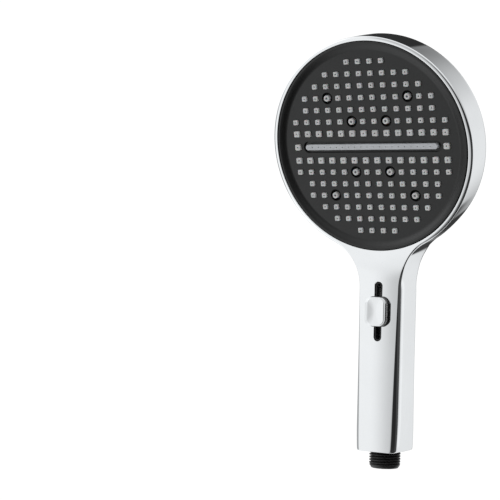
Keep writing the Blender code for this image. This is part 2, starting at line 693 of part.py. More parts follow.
def build_core(plastic):
    """The waterway block in the handle: inlet socket, spool bore and three outlet channels."""
    middle = (CORE_BACK + CORE_FRONT) / 2
    outline = rounded_rectangle(2 * CORE_HALF_WIDTH, CORE_BACK - CORE_FRONT, 3 * MM, (0, middle))
    core = prism("waterway_core", [outline], 29 * MM, CORE_TOP, plastic)
    socket_front, socket_top = -12.9 * MM, 30 * MM
    socket_middle = (CORE_BACK + socket_front) / 2
    socket = rounded_rectangle(24 * MM, CORE_BACK - socket_front, 3 * MM, (0, socket_middle))
    join(core, prism("core_socket", [socket], 16.5 * MM, socket_top))
    bores = [
        (0, 15 * MM),
        (SPIGOT_RADIUS + GAP, 15 * MM),
        (SPIGOT_RADIUS + GAP, SPIGOT_TOP + 0.5 * MM),
        (BORE_RADIUS, SPIGOT_TOP + 0.5 * MM),
        (BORE_RADIUS, CORE_TOP + MM),
        (0, CORE_TOP + MM),
    ]
    cut(core, turned("core_bore_cutter", bores, 20))
    bm = bmesh.new()
    for (x, y), port in zip(CHANNELS, CHANNEL_PORTS):
        add_prism(bm, circle(CHANNEL_RADIUS, 8, (x, y)), port - CHANNEL_RADIUS, CORE_TOP + MM)
    cut(core, make_object("channel_cutters", bm, None))
    bm = bmesh.new()
    for (x, y), port in zip(CHANNELS, CHANNEL_PORTS):
        reach = math.hypot(x, y)
        turn = Matrix.Rotation(math.atan2(y, x), 4, "Z") @ Matrix.Rotation(math.radians(90), 4, "Y")
        frame = Matrix.Translation((0, 0, port)) @ turn
        loops = [[frame @ Vector((*p, z)) for p in circle(1.5 * MM, 6)] for z in (5 * MM, reach)]
        add_lofted(bm, loops)
    cut(core, make_object("port_drill_cutters", bm, None))
    window = rounded_rectangle(3.8 * MM, 2 * (SLIDER_TRAVEL + 1.6 * MM), 1.8 * MM, (0, PIN_HEIGHT))
    cut(core, prism("pin_window_cutter", [window], 3 * MM, 12 * MM, None, TO_FRONT))
    return core


def build_slide_track(black):
    """Guide behind the slot: a rim that lines it, a plate, and two rails, one with detent notches."""
    plate_front, plate_back = 13.0 * MM, 11.8 * MM
    plate = rounded_rectangle(17.2 * MM, 46 * MM, 2 * MM, (0, SLOT_MIDDLE))
    track = prism("slide_track", [plate], plate_back, plate_front, black, TO_FRONT)
    rim = prism("track_rim", [slot_outline(GAP)], plate_front - GAP, 15.3 * MM, None, TO_FRONT)
    join(track, rim)
    rails = []
    for side in (1, -1):
        rails.append(rounded_rectangle(1.7 * MM, 44 * MM, 0.5 * MM, (side * 7.75 * MM, SLOT_MIDDLE), 1))
    join(track, prism("track_rails", rails, 9.2 * MM, plate_back + GAP, None, TO_FRONT))
    cut(track, prism("track_slot_cutter", [slot_outline(1.0 * MM)], 8 * MM, 17 * MM, None, TO_FRONT))
    notches = []
    for stop in (-1, 0, 1):
        notches.append(circle(1.0 * MM, 8, (6.9 * MM, SLOT_MIDDLE + stop * SLIDER_TRAVEL)))
    cut(track, prism("notch_cutters", notches, 8 * MM, plate_back - 0.2 * MM, None, TO_FRONT))
    return track


# ---------------------------------------------------------------- slider and spool


def serrated(outline_points, depth, centre):
    """The outline with every second point pulled towards the centre, as fine grip ribs."""
    points = []
    for k, (x, y) in enumerate(outline_points):
        away = Vector((x - centre[0], y - centre[1]))
        pull = depth if k % 2 else 0.0
        away -= away.normalized() * pull
        points.append((centre[0] + away.x, centre[1] + away.y))
    return points


def even_rounded_rectangle(width, height, radius, centre, count):
    """The same shape as rounded_rectangle, sampled at equal steps along its edge."""
    dense = rounded_rectangle(width, height, radius, centre, 24)
    dense.append(dense[0])
    lengths = [0.0]
    for (ax, ay), (bx, by) in zip(dense, dense[1:]):
        lengths.append(lengths[-1] + math.hypot(bx - ax, by - ay))
    points, segment = [], 0
    for k in range(count):
        target = lengths[-1] * k / count
        while lengths[segment + 1] < target:
            segment += 1
        part = (target - lengths[segment]) / (lengths[segment + 1] - lengths[segment])
        (ax, ay), (bx, by) = dense[segment], dense[segment + 1]
        points.append((ax + (bx - ax) * part, ay + (by - ay) * part))
    return points


def build_slider(chrome, black, steel):
    """Cap, ribbed grip, carriage, detent spring and pin; they slide together along Z."""
    middle = (0, SLOT_MIDDLE)
    outer = rounded_rectangle(CAP_WIDTH, CAP_HEIGHT, CAP_CORNER, middle, 5)
    bevel_side, bevel_end = 0.8 * MM, 0.65 * MM
    face_size = (CAP_WIDTH - 2 * bevel_side, CAP_HEIGHT - 2 * bevel_end)
    face = rounded_rectangle(*face_size, CAP_CORNER - 0.6 * MM, middle, 5)
    base, front = CAP_BASE, -CAP_FRONT
    sections = [(outer, base), (outer, front - 0.6 * MM), (face, front)]
    cap = loft("slider_cap", sections, chrome, TO_FRONT)
    stem_height = 16.0 * MM
    pocket = rounded_rectangle(2.9 * MM + 2 * GAP, stem_height + 2 * GAP, 0.5 * MM, middle, 1)
    cut(cap, prism("cap_pocket_cutter", [pocket], base - MM, base + 0.7 * MM, None, TO_FRONT))

    rib_points = 64
    rim_size = (CAP_WIDTH + 2 * GRIP_LIP, CAP_HEIGHT + 2 * GRIP_LIP)
    rim = even_rounded_rectangle(*rim_size, CAP_CORNER + GRIP_LIP, middle, rib_points)
    ribs = serrated(rim, 0.35 * MM, middle)
    grip = prism("slider_grip", [ribs], 16.4 * MM, base - GAP, black, TO_FRONT)
    cut(grip, prism("grip_pocket_cutter", [pocket], 15 * MM, base + MM, None, TO_FRONT))

    block_low, block_high = PIN_HEIGHT - 3.5 * MM, SLOT_MIDDLE + 9.0 * MM
    block_middle = (0, (block_low + block_high) / 2)
    block = rounded_rectangle(9.4 * MM, block_high - block_low, 1.5 * MM, block_middle)
    carriage = prism("slider_carriage", [block], 8.9 * MM, 11.5 * MM, black, TO_FRONT)
    stem = rounded_rectangle(2.9 * MM, stem_height, 0.5 * MM, middle, 1)
    join(carriage, prism("carriage_stem", [stem], 11.0 * MM, base + 0.4 * MM, None, TO_FRONT))
    pin_hole = circle(1.6 * MM, 8, (0, PIN_HEIGHT))
    cut(carriage, prism("pin_hole_cutter", [pin_hole], 8 * MM, 12 * MM, None, TO_FRONT))

    spring_half, inner, outer_x = 6.5 * MM, 5.0 * MM, 6.6 * MM
    leaf = [
        (inner, SLOT_MIDDLE - spring_half),
        (inner + 0.3 * MM, SLOT_MIDDLE - spring_half),
        (inner + 0.5 * MM, SLOT_MIDDLE - 1.6 * MM),
        (outer_x, SLOT_MIDDLE),
        (inner + 0.5 * MM, SLOT_MIDDLE + 1.6 * MM),
        (inner + 0.3 * MM, SLOT_MIDDLE + spring_half),
        (inner, SLOT_MIDDLE + spring_half),
        (inner + 0.2 * MM, SLOT_MIDDLE + 1.6 * MM),
        (outer_x - 0.4 * MM, SLOT_MIDDLE),
        (inner + 0.2 * MM, SLOT_MIDDLE - 1.6 * MM),
    ]
    spring = prism("detent_spring", [leaf], 9.3 * MM, 11.3 * MM, steel, TO_FRONT)
    pin_frame = Matrix.Translation((0, 0, PIN_HEIGHT)) @ TO_FRONT
    pin = rod("drive_pin", 1.3 * MM, 4.75 * MM, 11.0 * MM, 10, steel, pin_frame)
    return [cap, grip, carriage, spring, pin]


def build_spool(white, rubber):
    """Hollow spool with two seals on each side of the pin window and a closed top."""
    low, high = 62.0 * MM, 117.4 * MM
    bore, groove, half = 3.2 * MM, 4.85 * MM, 0.8 * MM
    profile = [(bore, low), (SPOOL_RADIUS, low)]
    for height in SPOOL_SEAL_HEIGHTS:
        profile += [(SPOOL_RADIUS, height - half), (groove, height - half)]
        profile += [(groove, height + half), (SPOOL_RADIUS, height + half)]
    profile += [(SPOOL_RADIUS, high), (0, high), (0, high - 2 * MM), (bore, high - 2 * MM)]
    spool = turned("diverter_spool", profile, 12, white)
    pin_hole = circle(1.6 * MM, 8, (0, PIN_HEIGHT))
    cut(spool, prism("spool_pin_cutter", [pin_hole], 4.4 * MM, 8 * MM, None, TO_FRONT))
    turn = Matrix.Translation((0, 0, SPOOL_OUTLET)) @ Matrix.Rotation(math.radians(90), 4, "Y")
    cut(spool, rod("spool_outlet_cutter", 0.8 * MM, -8 * MM, 8 * MM, 6, None, turn))
    seals = []
    for number, height in enumerate(SPOOL_SEAL_HEIGHTS, 1):
        centre = BORE_RADIUS - 0.28 * MM - SEAL_WIRE
        seals.append(seal_ring(f"spool_seal_{number}", centre, SEAL_WIRE, height, rubber))
    return [spool] + seals


# ---------------------------------------------------------------- inlet


def add_thread(bm, low, turns, segments=16):
    """A helical ridge with a V section; it sinks into the root at both ends."""
    sections = []
    steps = int(turns * segments)
    height = THREAD_MAJOR_RADIUS - THREAD_ROOT_RADIUS
    for k in range(steps + 1):
        angle = 2 * math.pi * k / segments
        rise = low + THREAD_PITCH * k / segments
        fade = min(1.0, k / 5, (steps - k) / 5)
        crest = THREAD_ROOT_RADIUS - 0.3 * MM + (height + 0.3 * MM) * fade
        foot = THREAD_ROOT_RADIUS - 0.5 * MM
        section = [(foot, -0.78), (crest, -0.16), (crest, 0.16), (foot, 0.78)]
        turn = Matrix.Rotation(angle, 3, "Z")
        sections.append([turn @ Vector((r, 0, rise + part * MM)) for r, part in section])
    add_lofted(bm, sections)


def build_connector(black):
    """Threaded nipple, flange that closes the handle's end, and spigot for the waterway core."""
    groove = (20.3 * MM, 22.3 * MM)
    root = THREAD_ROOT_RADIUS
    profile = [
        (INLET_BORE_RADIUS, 0),
        (root - 0.4 * MM, 0),
        (root, 0.6 * MM),
        (root, 14.0 * MM),
        (SPIGOT_RADIUS, 14.0 * MM),
        (SPIGOT_RADIUS, groove[0]),
        (SPIGOT_RADIUS - 1.2 * MM, groove[0]),
        (SPIGOT_RADIUS - 1.2 * MM, groove[1]),
        (SPIGOT_RADIUS, groove[1]),
        (SPIGOT_RADIUS, SPIGOT_TOP),
        (5.6 * MM, SPIGOT_TOP),
        (5.6 * MM, 14.5 * MM),
        (INLET_BORE_RADIUS, 14.5 * MM),
    ]
    connector = turned("inlet_connector", profile, 20, black)
    bm = bmesh.new()
    add_thread(bm, 1.3 * MM, 5.4)
    join(connector, make_object("thread_ridge", bm, None))
    outline = rounded_rectangle(24.2 * MM, 26.6 * MM, 2.8 * MM, (0, 0.3 * MM))
    flange = prism("connector_flange", [outline], HANDLE_END + 0.5 * MM, 15.6 * MM)
    cut(flange, rod("flange_bore_cutter", 8.2 * MM, 10 * MM, 17 * MM, 20))
    join(connector, flange)
    return connector


def build_inlet_parts(white, rubber, steel):
    """Seal, filter screen, flow regulator and the check valve's body inside the connector."""
    seal_ring("connector_seal_ring", 8.15 * MM, 0.5 * MM, 21.3 * MM, rubber, 20)

    fit = INLET_BORE_RADIUS - GAP
    filter_screen = rod("filter_screen", fit, 5.5 * MM, 6.5 * MM, 20, steel)
    meshes = []
    for i in range(-2, 3):
        for j in range(-2, 3):
            if abs(i) + abs(j) < 3:
                meshes.append(square(1.5 * MM, (i * 2.2 * MM, j * 2.2 * MM)))
    cut(filter_screen, prism("filter_mesh_cutters", meshes, 5 * MM, 7 * MM))

    regulator = rod("flow_regulator", fit, 6.9 * MM, 9.6 * MM, 20, white)
    slots = [circle(1.1 * MM, 6, p) for p in circle(4.2 * MM, 6)]
    cut(regulator, prism("regulator_cutters", slots, 6 * MM, 11 * MM))

    profile = [
        (2.6 * MM, 12.0 * MM),
        (fit, 12.0 * MM),
        (fit, 14.1 * MM),
        (5.3 * MM, 14.1 * MM),
        (5.3 * MM, 27.0 * MM),
        (4.2 * MM, 27.0 * MM),
        (4.2 * MM, 14.0 * MM),
        (2.6 * MM, 14.0 * MM),
    ]
    valve_body = turned("check_valve_body", profile, 20, white)
    guide_low, guide_high = VALVE_GUIDE_HEIGHT, VALVE_GUIDE_HEIGHT + 1.5 * MM
    arms = rounded_rectangle(9.2 * MM, 1.4 * MM, 0.4 * MM, steps=1)
    join(valve_body, prism("valve_guide_arms", [arms], guide_low, guide_high))
    join(valve_body, rod("valve_guide_hub", 1.9 * MM, guide_low, guide_high, 10))
    cut(valve_body, rod("valve_guide_bore_cutter", 1.05 * MM, 22 * MM, 26 * MM, 10))


def build_check_valve(white, steel):
    """Poppet that lifts off its seat with the flow, and the spring that closes it."""
    top = 15.6 * MM
    profile = [
        (0, 13.4 * MM),
        (2.2 * MM, 13.4 * MM),
        (2.2 * MM, 14.4 * MM),
        (3.6 * MM, 14.4 * MM),
        (3.6 * MM, top),
        (0.7 * MM, top),
        (0.7 * MM, 26.6 * MM),
        (0, 26.6 * MM),
    ]
    poppet = turned("check_valve_poppet", profile, 14, white)
    low, high = top + GAP + 0.2 * MM, VALVE_GUIDE_HEIGHT - GAP - 0.2 * MM
    turns, segments, wire = 4, 8, 0.2 * MM
    bm = bmesh.new()
    sections = []
    for k in range(turns * segments + 1):
        frame = Matrix.Rotation(2 * math.pi * k / segments, 4, "Z")
        rise = low + (high - low) * k / (turns * segments)
        sections.append([frame @ Vector((1.7 * MM + x, 0, rise + z)) for x, z in circle(wire, 4)])
    add_lofted(bm, sections)
    return [poppet, make_object("check_valve_spring", bm, steel)]


# ---------------------------------------------------------------- assembly


def clear_scene():
    for obj in list(bpy.data.objects):
        bpy.data.objects.remove(obj, do_unlink=True)


def mount_on_axis(name, point, pieces):
    """Parents moving pieces to an empty that lies on their joint's axis."""
    axis = bpy.data.objects.new(name, None)
    bpy.context.scene.collection.objects.link(axis)
    axis.location = point
    bpy.context.view_layer.update()
    for piece in pieces:
        set_origin(piece, point)
        world = piece.matrix_world.copy()
        piece.parent = axis
        piece.matrix_parent_inverse = axis.matrix_world.inverted()
        piece.matrix_world = world


def main():
    clear_scene()
    chrome = make_material("chrome_plated_abs", (0.86, 0.87, 0.88), 0.06, 1.0)
    black = make_material("black_abs", (0.018, 0.018, 0.019), 0.38)
    face_black = make_material("satin_black_abs", (0.035, 0.035, 0.034), 0.45)
    silicone = make_material("grey_silicone", (0.40, 0.40, 0.39), 0.6)
    bar_grey = make_material("light_grey_abs", (0.42, 0.43, 0.45), 0.4)
    white = make_material("white_acetal", (0.82, 0.82, 0.80), 0.35)
    rubber = make_material("black_rubber", (0.02, 0.02, 0.02), 0.7)
    steel = make_material("stainless_steel", (0.62, 0.61, 0.59), 0.25, 1.0)

    build_shell(chrome)
    build_face_plate(face_black)
    build_nozzle_mat(silicone)
    build_jet_bar(bar_grey)
    build_plates(white, rubber)
    build_plate_screws(steel)
    seal_ring("face_seal_ring", 68.6 * MM, 0.8 * MM, -7.3 * MM, rubber, DRUM_SEGMENTS, HEAD_FRAME)
    build_manifold(white)
    build_manifold_seals(rubber)
    build_core(white)
    build_slide_track(black)
    build_connector(black)
    build_inlet_parts(white, rubber, steel)

    slider_pieces = build_slider(chrome, black, steel) + build_spool(white, rubber)
    mount_on_axis("slider_axis", (0, -HANDLE_FRONT, SLOT_MIDDLE), slider_pieces)
    mount_on_axis("check_valve_axis", (0, 0, 14.4 * MM), build_check_valve(white, steel))


main()
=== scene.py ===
"""Visual model of the handheld shower head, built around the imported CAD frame.

Units are metres, +Z runs up the handle and -Y is the spray side. Fine pieces stand for the
CAD nodes that are seen from outside; the nodes inside keep their own meshes and get materials.
`place` and HEAD_FRAME are the CAD model's own helper frames: `place` maps (x, s, depth) onto the
bent body, and HEAD_FRAME has its origin at the centre of the spray face with +Z along the jets.
"""

import math

import bmesh
import bpy
from mathutils import Matrix, Vector


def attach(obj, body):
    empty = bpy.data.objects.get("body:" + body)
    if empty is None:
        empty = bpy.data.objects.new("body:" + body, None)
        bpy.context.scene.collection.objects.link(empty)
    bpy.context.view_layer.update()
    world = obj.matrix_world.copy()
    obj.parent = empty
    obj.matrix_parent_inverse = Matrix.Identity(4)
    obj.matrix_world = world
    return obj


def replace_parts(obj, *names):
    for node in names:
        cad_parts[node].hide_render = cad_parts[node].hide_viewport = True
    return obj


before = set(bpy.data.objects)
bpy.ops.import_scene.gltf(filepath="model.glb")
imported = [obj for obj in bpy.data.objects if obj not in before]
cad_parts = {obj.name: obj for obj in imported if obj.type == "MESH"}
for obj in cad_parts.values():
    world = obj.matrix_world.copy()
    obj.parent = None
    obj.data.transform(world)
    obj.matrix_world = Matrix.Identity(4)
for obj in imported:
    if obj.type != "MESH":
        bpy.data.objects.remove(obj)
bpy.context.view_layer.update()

MM = 0.001
QUARTER = math.radians(90)

# Camera: a short telephoto at half the object's height, turned to its right side.
CAMERA_PLACE = (0.49334, -0.98320, 0.14609)
CAMERA_RIGHT = (0.8516, 0.5235, 0.0273)
CAMERA_FORWARD = (-0.5237, 0.8519, -0.0017)
CAMERA_LENS = 117.18  # mm, as the sensor's width is
CAMERA_SENSOR = 36.0

# Studio.
FLOOR_RADIUS = 0.8
FLOOR_HEIGHT = -0.16
FLOOR_GLOW = 0.32
BACKDROP = 1.05  # what the camera sees behind the object
DAYLIGHT = (0.984, 1.0, 1.008, 1.0)

# Body outline, as in the CAD model.
HANDLE_FRONT = 15.7 * MM
HANDLE_HALF_WIDTH = 15.0 * MM
HANDLE_END_HALF_WIDTH = 14.4 * MM
HANDLE_END = 12.0 * MM
END_CORNER = 1.5 * MM
END_TAPER_TOP = 33.0 * MM
END_DEEPENING_TOP = 80.0 * MM
NECK_BEND_HEIGHT = 138.4 * MM
NECK_BEND_RADIUS = 60.0 * MM
HEAD_TILT = math.radians(14.0)
HEAD_DISTANCE = 77.67 * MM
HEAD_RADIUS = 73.0 * MM
NECK_FLARE_RADIUS = 34.0 * MM
BODY_DEPTH = 30.1 * MM
END_EXTRA_DEPTH = 2.0 * MM
HEAD_EXTRA_DEPTH = 0.4 * MM
BACK_CROWN = 1.5 * MM
FRONT_CROWN = 0.35 * MM
NECK_WEB = 1.8 * MM
NECK_WEB_HEIGHT = 146.0 * MM
NECK_WEB_REACH = 9.0 * MM
SIDE_SWELL = 0.09 * MM  # how much narrower the handle is at its front edge
HEAD_SWELL = 0.35 * MM  # the same on the head
SHELL_WALL = 2.4 * MM
CAVITY_HALF_WIDTH = 12.4 * MM
SLOT_RIM = 0.35 * MM

# Edges of the body. The first value of each pair is the handle's, the second what the head adds.
FRONT_ROUND_WIDTH = (3.4 * MM, 1.9 * MM)
FRONT_ROUND_DEPTH = (3.0 * MM, -1.2 * MM)
BACK_ROUND = (4.5 * MM, 3.5 * MM)
WALL_DRAFT = (0.012, 0.043)
SWELL_END = (0.25, 0.7)  # the part of the wall's depth over which the swell fades
FRONT_ROUND_NARROWING = 2.6 * MM  # from the handle's end to its top
PAST_NECK_DEPTH = -0.55 * MM
PAST_NECK_SQUARENESS = -0.25  # 0 leaves the front fillet a quarter ellipse
FRONT_END_INSET = 0.12 * MM
BACK_END_INSET = 0.8 * MM
WALL_PARTS = (0.03, 0.06, 0.1, 0.15, 0.2, 0.25, 0.4, 0.6, 0.8, 0.96)

# Heights up the body, from and to, over which its section changes.
HANDLE_NARROWS = (30.0 * MM, 120.0 * MM)
HEAD_STARTS = (118.0 * MM, 145.0 * MM)
CROWN_FADES = (125.5 * MM, 137.0 * MM)
HEAD_DEEPENS = (130.0 * MM, 160.0 * MM)
NECK_ENDS = (134.0 * MM, 164.0 * MM)

# Spray face, in the head frame.
FACE_RADIUS = 69.4 * MM
FACE_BORE_RADIUS = 69.8 * MM
FACE_FLAT_RADIUS = 63.7 * MM
FACE_RECESS = 1.9 * MM
FACE_BACK = -4.1 * MM
FACE_SKIRT = -11.8 * MM
FACE_SKIRT_WALL = 2.6 * MM
FACE_RIM_WIDTH = 2.0 * MM
FACE_RIM_ROUND = 0.5 * MM
PITCH_X = 8.41 * MM
PITCH_Y = 7.88 * MM
MIDDLE_ROW_GAP = 1.125 * MM
ROW_COUNTS = {1: 14, 2: 14, 3: 12, 4: 12, 5: 10, 6: 8, 7: 4}
MIDDLE_ROW_COLUMN = 6.5
ROUND_PLACES = {(3.5, 4), (1.5, 2)}
NOZZLE_TIP = 3.2 * MM
NOZZLE_TOP = -0.45 * MM
ROUND_NOZZLE_TOP = -0.65 * MM
NOZZLE_TIP_LARGE = 3.85 * MM
NOZZLE_TIP_ROUND = 4.0 * MM
NOZZLE_DRAFT = 0.3 * MM
NOZZLE_CLEARANCE = 0.12 * MM
NOZZLE_EDGE = 0.28 * MM
NOZZLE_CORNER = 0.55 * MM
NOZZLE_LEAST_CORNER = 0.25 * MM
NOZZLE_BORE = 0.46 * MM
ROUND_NOZZLE_BORE = 0.78 * MM
BORE_FLARE = 0.12 * MM
BORE_FLARE_DEPTH = 0.15 * MM
BORE_END = -2.9 * MM
MASSAGE_RECESS_RADIUS = 3.6 * MM
BAR_RECESS_MARGIN = 2.0 * MM
GROOVE_DEPTH = 1.7 * MM
GROOVE_CHAMFER = 0.3 * MM
MAT_RADIUS = 64.0 * MM
MAT_FRONT = -4.4 * MM
MAT_BACK = -5.9 * MM
BAR_LENGTH = 97.0 * MM
BAR_WIDTH = 3.72 * MM
BAR_TOP = -0.4 * MM
BAR_JETS = 20
BAR_JET_PITCH = 4.57 * MM
BAR_JET_RADIUS = 0.32 * MM
BAR_JET_DEPTH = 2.5 * MM
BAR_EDGE = 0.45 * MM
BAR_RIM = 0.3 * MM
BAR_TROUGH = 0.35 * MM  # width of the slope down into the trough
BAR_TROUGH_DEPTH = 0.18 * MM
SCREW_RADIUS = 2.5 * MM
SCREW_PLACES = [(x * 33.64 * MM, y * 28.70 * MM) for y in (1, -1) for x in (-1, 1)]

# Slider.
SLOT_MIDDLE = 105.65 * MM
SLOT_LENGTH = 39.5 * MM
SLOT_WIDTH = 5.5 * MM
CAP_WIDTH = 15.2 * MM
CAP_HEIGHT = 19.2 * MM
CAP_CORNER = 4.7 * MM
CAP_FRONT = 20.4 * MM  # forward of the inlet's axis
CAP_BASE = 19.1 * MM
CAP_DISH = 0.2 * MM
CAP_EDGE = 0.35 * MM
CAP_BEZEL = 1.2 * MM
CAP_RISE = 0.18 * MM
CAP_SLOPE = 0.35 * MM
GRIP_LIP = 0.5 * MM
GRIP_BASE = 16.4 * MM
GRIP_GAP = 0.15 * MM  # between the ribs and the cap
SKIRT_HEIGHT = 1.3 * MM
RIB_PITCH = 1.15 * MM
RIB_DEPTH = 0.45 * MM

# Inlet thread, G 1/2.
THREAD_MAJOR_RADIUS = 20.955 / 2 * MM
THREAD_ROOT_RADIUS = THREAD_MAJOR_RADIUS - 1.16 * MM
THREAD_PITCH = 25.4 / 14 * MM
THREAD_START = 2.6 * MM
THREAD_TURNS = 5.0
THREAD_TOP = 11.9 * MM
NECK_TOP = 14.0 * MM
SPIGOT_RADIUS = 8.7 * MM
SPIGOT_TOP = 27.5 * MM
BORE_RADIUS = 5.6 * MM
WASHER_BORE_RADIUS = 7.3 * MM
WASHER_SEAT = 14.5 * MM
NOSE_RADIUS = 9.2 * MM
NOSE_START = 0.75 * MM
NOSE_END = 4.2 * MM
FLANGE_SIZE = (24.2 * MM, 26.6 * MM)
FLANGE_CORNER = 2.8 * MM
FLANGE_TOP = 15.6 * MM

BEND_TANGENT = NECK_BEND_RADIUS * math.tan(HEAD_TILT / 2)
BEND_START = NECK_BEND_HEIGHT - BEND_TANGENT
BEND_END = BEND_START + NECK_BEND_RADIUS * HEAD_TILT
HEAD_S = BEND_END + HEAD_DISTANCE - BEND_TANGENT


def smoothstep(low, high, value):
    t = min(1.0, max(0.0, (value - low) / (high - low)))
    return t * t * (3 - 2 * t)


def place(x, s, depth):
    """The point at x, s along the front surface and depth below it."""
    angle = min(max(s - BEND_START, 0.0) / NECK_BEND_RADIUS, HEAD_TILT)
    y = -HANDLE_FRONT - NECK_BEND_RADIUS * (1 - math.cos(angle))
    z = min(s, BEND_START) + NECK_BEND_RADIUS * math.sin(angle)
    beyond = max(s - BEND_END, 0.0)
    y += -beyond * math.sin(HEAD_TILT) + depth * math.cos(angle)
    z += beyond * math.cos(HEAD_TILT) + depth * math.sin(angle)
    return Vector((x, y, z))


HEAD_FRAME = Matrix.Translation(place(0, HEAD_S, 0)) @ Matrix.Rotation(
    math.radians(90) + HEAD_TILT, 4, "X"
)
TO_FRONT = Matrix.Rotation(math.radians(90), 4, "X")  # local +Z becomes -Y, local +Y becomes +Z


# ---------------------------------------------------------------- camera, floor and light


def add_camera():
    right = Vector(CAMERA_RIGHT).normalized()
    forward = Vector(CAMERA_FORWARD).normalized()
    up = right.cross(forward)
    turn = Matrix((right, up, -forward)).transposed()
    data = bpy.data.cameras.new("camera")
    data.sensor_width = CAMERA_SENSOR
    data.lens = CAMERA_LENS
    data.clip_start, data.clip_end = 0.05, 50.0
    camera = bpy.data.objects.new("camera", data)
    camera.matrix_world = Matrix.Translation(CAMERA_PLACE) @ turn.to_4x4()
    bpy.context.scene.collection.objects.link(camera)
    bpy.context.scene.camera = camera


class Nodes:
    """Small helper for writing node trees: each call adds a node and returns its output."""

    def __init__(self, tree):
        self.tree = tree

    def add(self, kind, output=0, inputs=(), **settings):
        node = self.tree.nodes.new(kind)
        for key, value in settings.items():
            setattr(node, key, value)
        for key, value in dict(inputs).items():
            self.put(node.inputs[key], value)
        return node.outputs[output]

    def put(self, socket, value):
        if isinstance(value, bpy.types.NodeSocket):
            self.tree.links.new(value, socket)
        else:
            socket.default_value = value

    def math(self, operation, a, b=0.0):
        return self.add("ShaderNodeMath", inputs={0: a, 1: b}, operation=operation)

    def ramp(self, value, low, high, start=0.0, end=1.0):
        """A smooth step from start at low to end at high."""
        inputs = {0: value, 1: low, 2: high, 3: start, 4: end}
        return self.add("ShaderNodeMapRange", inputs=inputs, interpolation_type="SMOOTHSTEP")

    def mix(self, factor, a, b):
        """The colour a where factor is 0 and b where it is 1."""
        node = self.tree.nodes.new("ShaderNodeMix")
        node.data_type = "RGBA"
        for socket, value in ((node.inputs[0], factor), (node.inputs[6], a), (node.inputs[7], b)):
            self.put(socket, value)
        return node.outputs[2]


def window(nodes, angle, low, high, soft_low, soft_high):
    """1 between low and high degrees, fading to 0 over the soft degrees outside."""
    up = nodes.ramp(angle, low - soft_low, low)
    down = nodes.ramp(angle, high, high + soft_high, 1.0, 0.0)
    return nodes.math("MULTIPLY", up, down)


# The studio as seen from the object, each entry painted over those before it: azimuth from and to
# in degrees (0 is -Y, 90 is +X), its softness on either side, elevation from and to, its
# softness, and the brightness.
STUDIO = [
    (-85, -44, 10, 8, -36, -20, 8, 1.2),  # soft light, low on the left
    (-85, -42, 10, 8, 8, 30, 6, 1.5),  # the same, higher
    (-150, -64, 14, 23, -22, 0, 7, 0.42),  # grey wall between them
    (-21, 150, 8, 4, -70, 30, 14, 0.60),  # key light's falloff
    (2, 150, 22, 3, -17, 5, 7, 0.022),  # long black flag
    (-5, 150, 34, 4, -80, -32, 4, 0.13),  # dark floor under it
    (15, 151, 18, 5, -80, -14, 6, 0.03),  # its deeper part on the right
    (96, 150, 8, 3, -17, 5, 7, 0.065),  # its far, lit end
    (155.4, 186, 1.1, 8, -80, 10, 12, 0.86),  # side wall
    (152, 210, 6, 20, 54, 80, 49, 0.25),  # falling off upwards
    (192, 215, 26, 10, 40, 80, 22, 0.19),  # more so behind
    (195, 205, 30, 10, -14, 6, 8, 0.3),  # and low behind
    (194, 208, 2.5, 6, 14, 60, 6, 0.03),  # black flag, high behind
    (192, 198, 3, 6, -12, 0, 3, 0.04),  # black flag, low behind
    (184, 200, 4, 5, -20, -12, 3, 0.05),  # its lower part
]


def build_world():
    """A bright room with the STUDIO's lights and flags, and plain white behind the object."""
    world = bpy.data.worlds.new("studio")
    bpy.context.scene.world = world
    world.use_nodes = True
    nodes = Nodes(world.node_tree)
    world.node_tree.nodes.clear()
    direction = nodes.add("ShaderNodeTexCoord", "Generated")
    split = world.node_tree.nodes.new("ShaderNodeSeparateXYZ")
    nodes.put(split.inputs[0], direction)
    x, y, z = split.outputs
    degrees = 180 / math.pi
    toward_front = nodes.math("MULTIPLY", y, -1.0)
    azimuth = nodes.math("MULTIPLY", nodes.math("ARCTAN2", x, toward_front), degrees)
    elevation = nodes.math("MULTIPLY", nodes.math("ARCSINE", z), degrees)
    level = nodes.ramp(elevation, -40, 60, 0.95, 1.0)
    for az_low, az_high, soft_low, soft_high, el_low, el_high, el_soft, value in STUDIO:
        turned_azimuth = azimuth
        if az_high + soft_high > 180:  # runs on past the seam behind the object
            behind = nodes.math("LESS_THAN", azimuth, az_low - soft_low - 1.0)
            turned_azimuth = nodes.math("ADD", azimuth, nodes.math("MULTIPLY", behind, 360.0))
        mask = nodes.math(
            "MULTIPLY",
            window(nodes, turned_azimuth, az_low, az_high, soft_low, soft_high),
            window(nodes, elevation, el_low, el_high, el_soft, el_soft),
        )
        change = nodes.math("SUBTRACT", value, level)
        level = nodes.math("ADD", level, nodes.math("MULTIPLY", mask, change))
    lit = nodes.add("ShaderNodeBackground", inputs={"Color": DAYLIGHT, "Strength": level})
    white = nodes.add("ShaderNodeBackground", inputs={"Color": grey(1.0), "Strength": BACKDROP})
    seen = nodes.add("ShaderNodeLightPath", "Is Camera Ray")
    shader = nodes.add("ShaderNodeMixShader", inputs={0: seen, 1: lit, 2: white})
    out = world.node_tree.nodes.new("ShaderNodeOutputWorld")
    nodes.put(out.inputs["Surface"], shader)


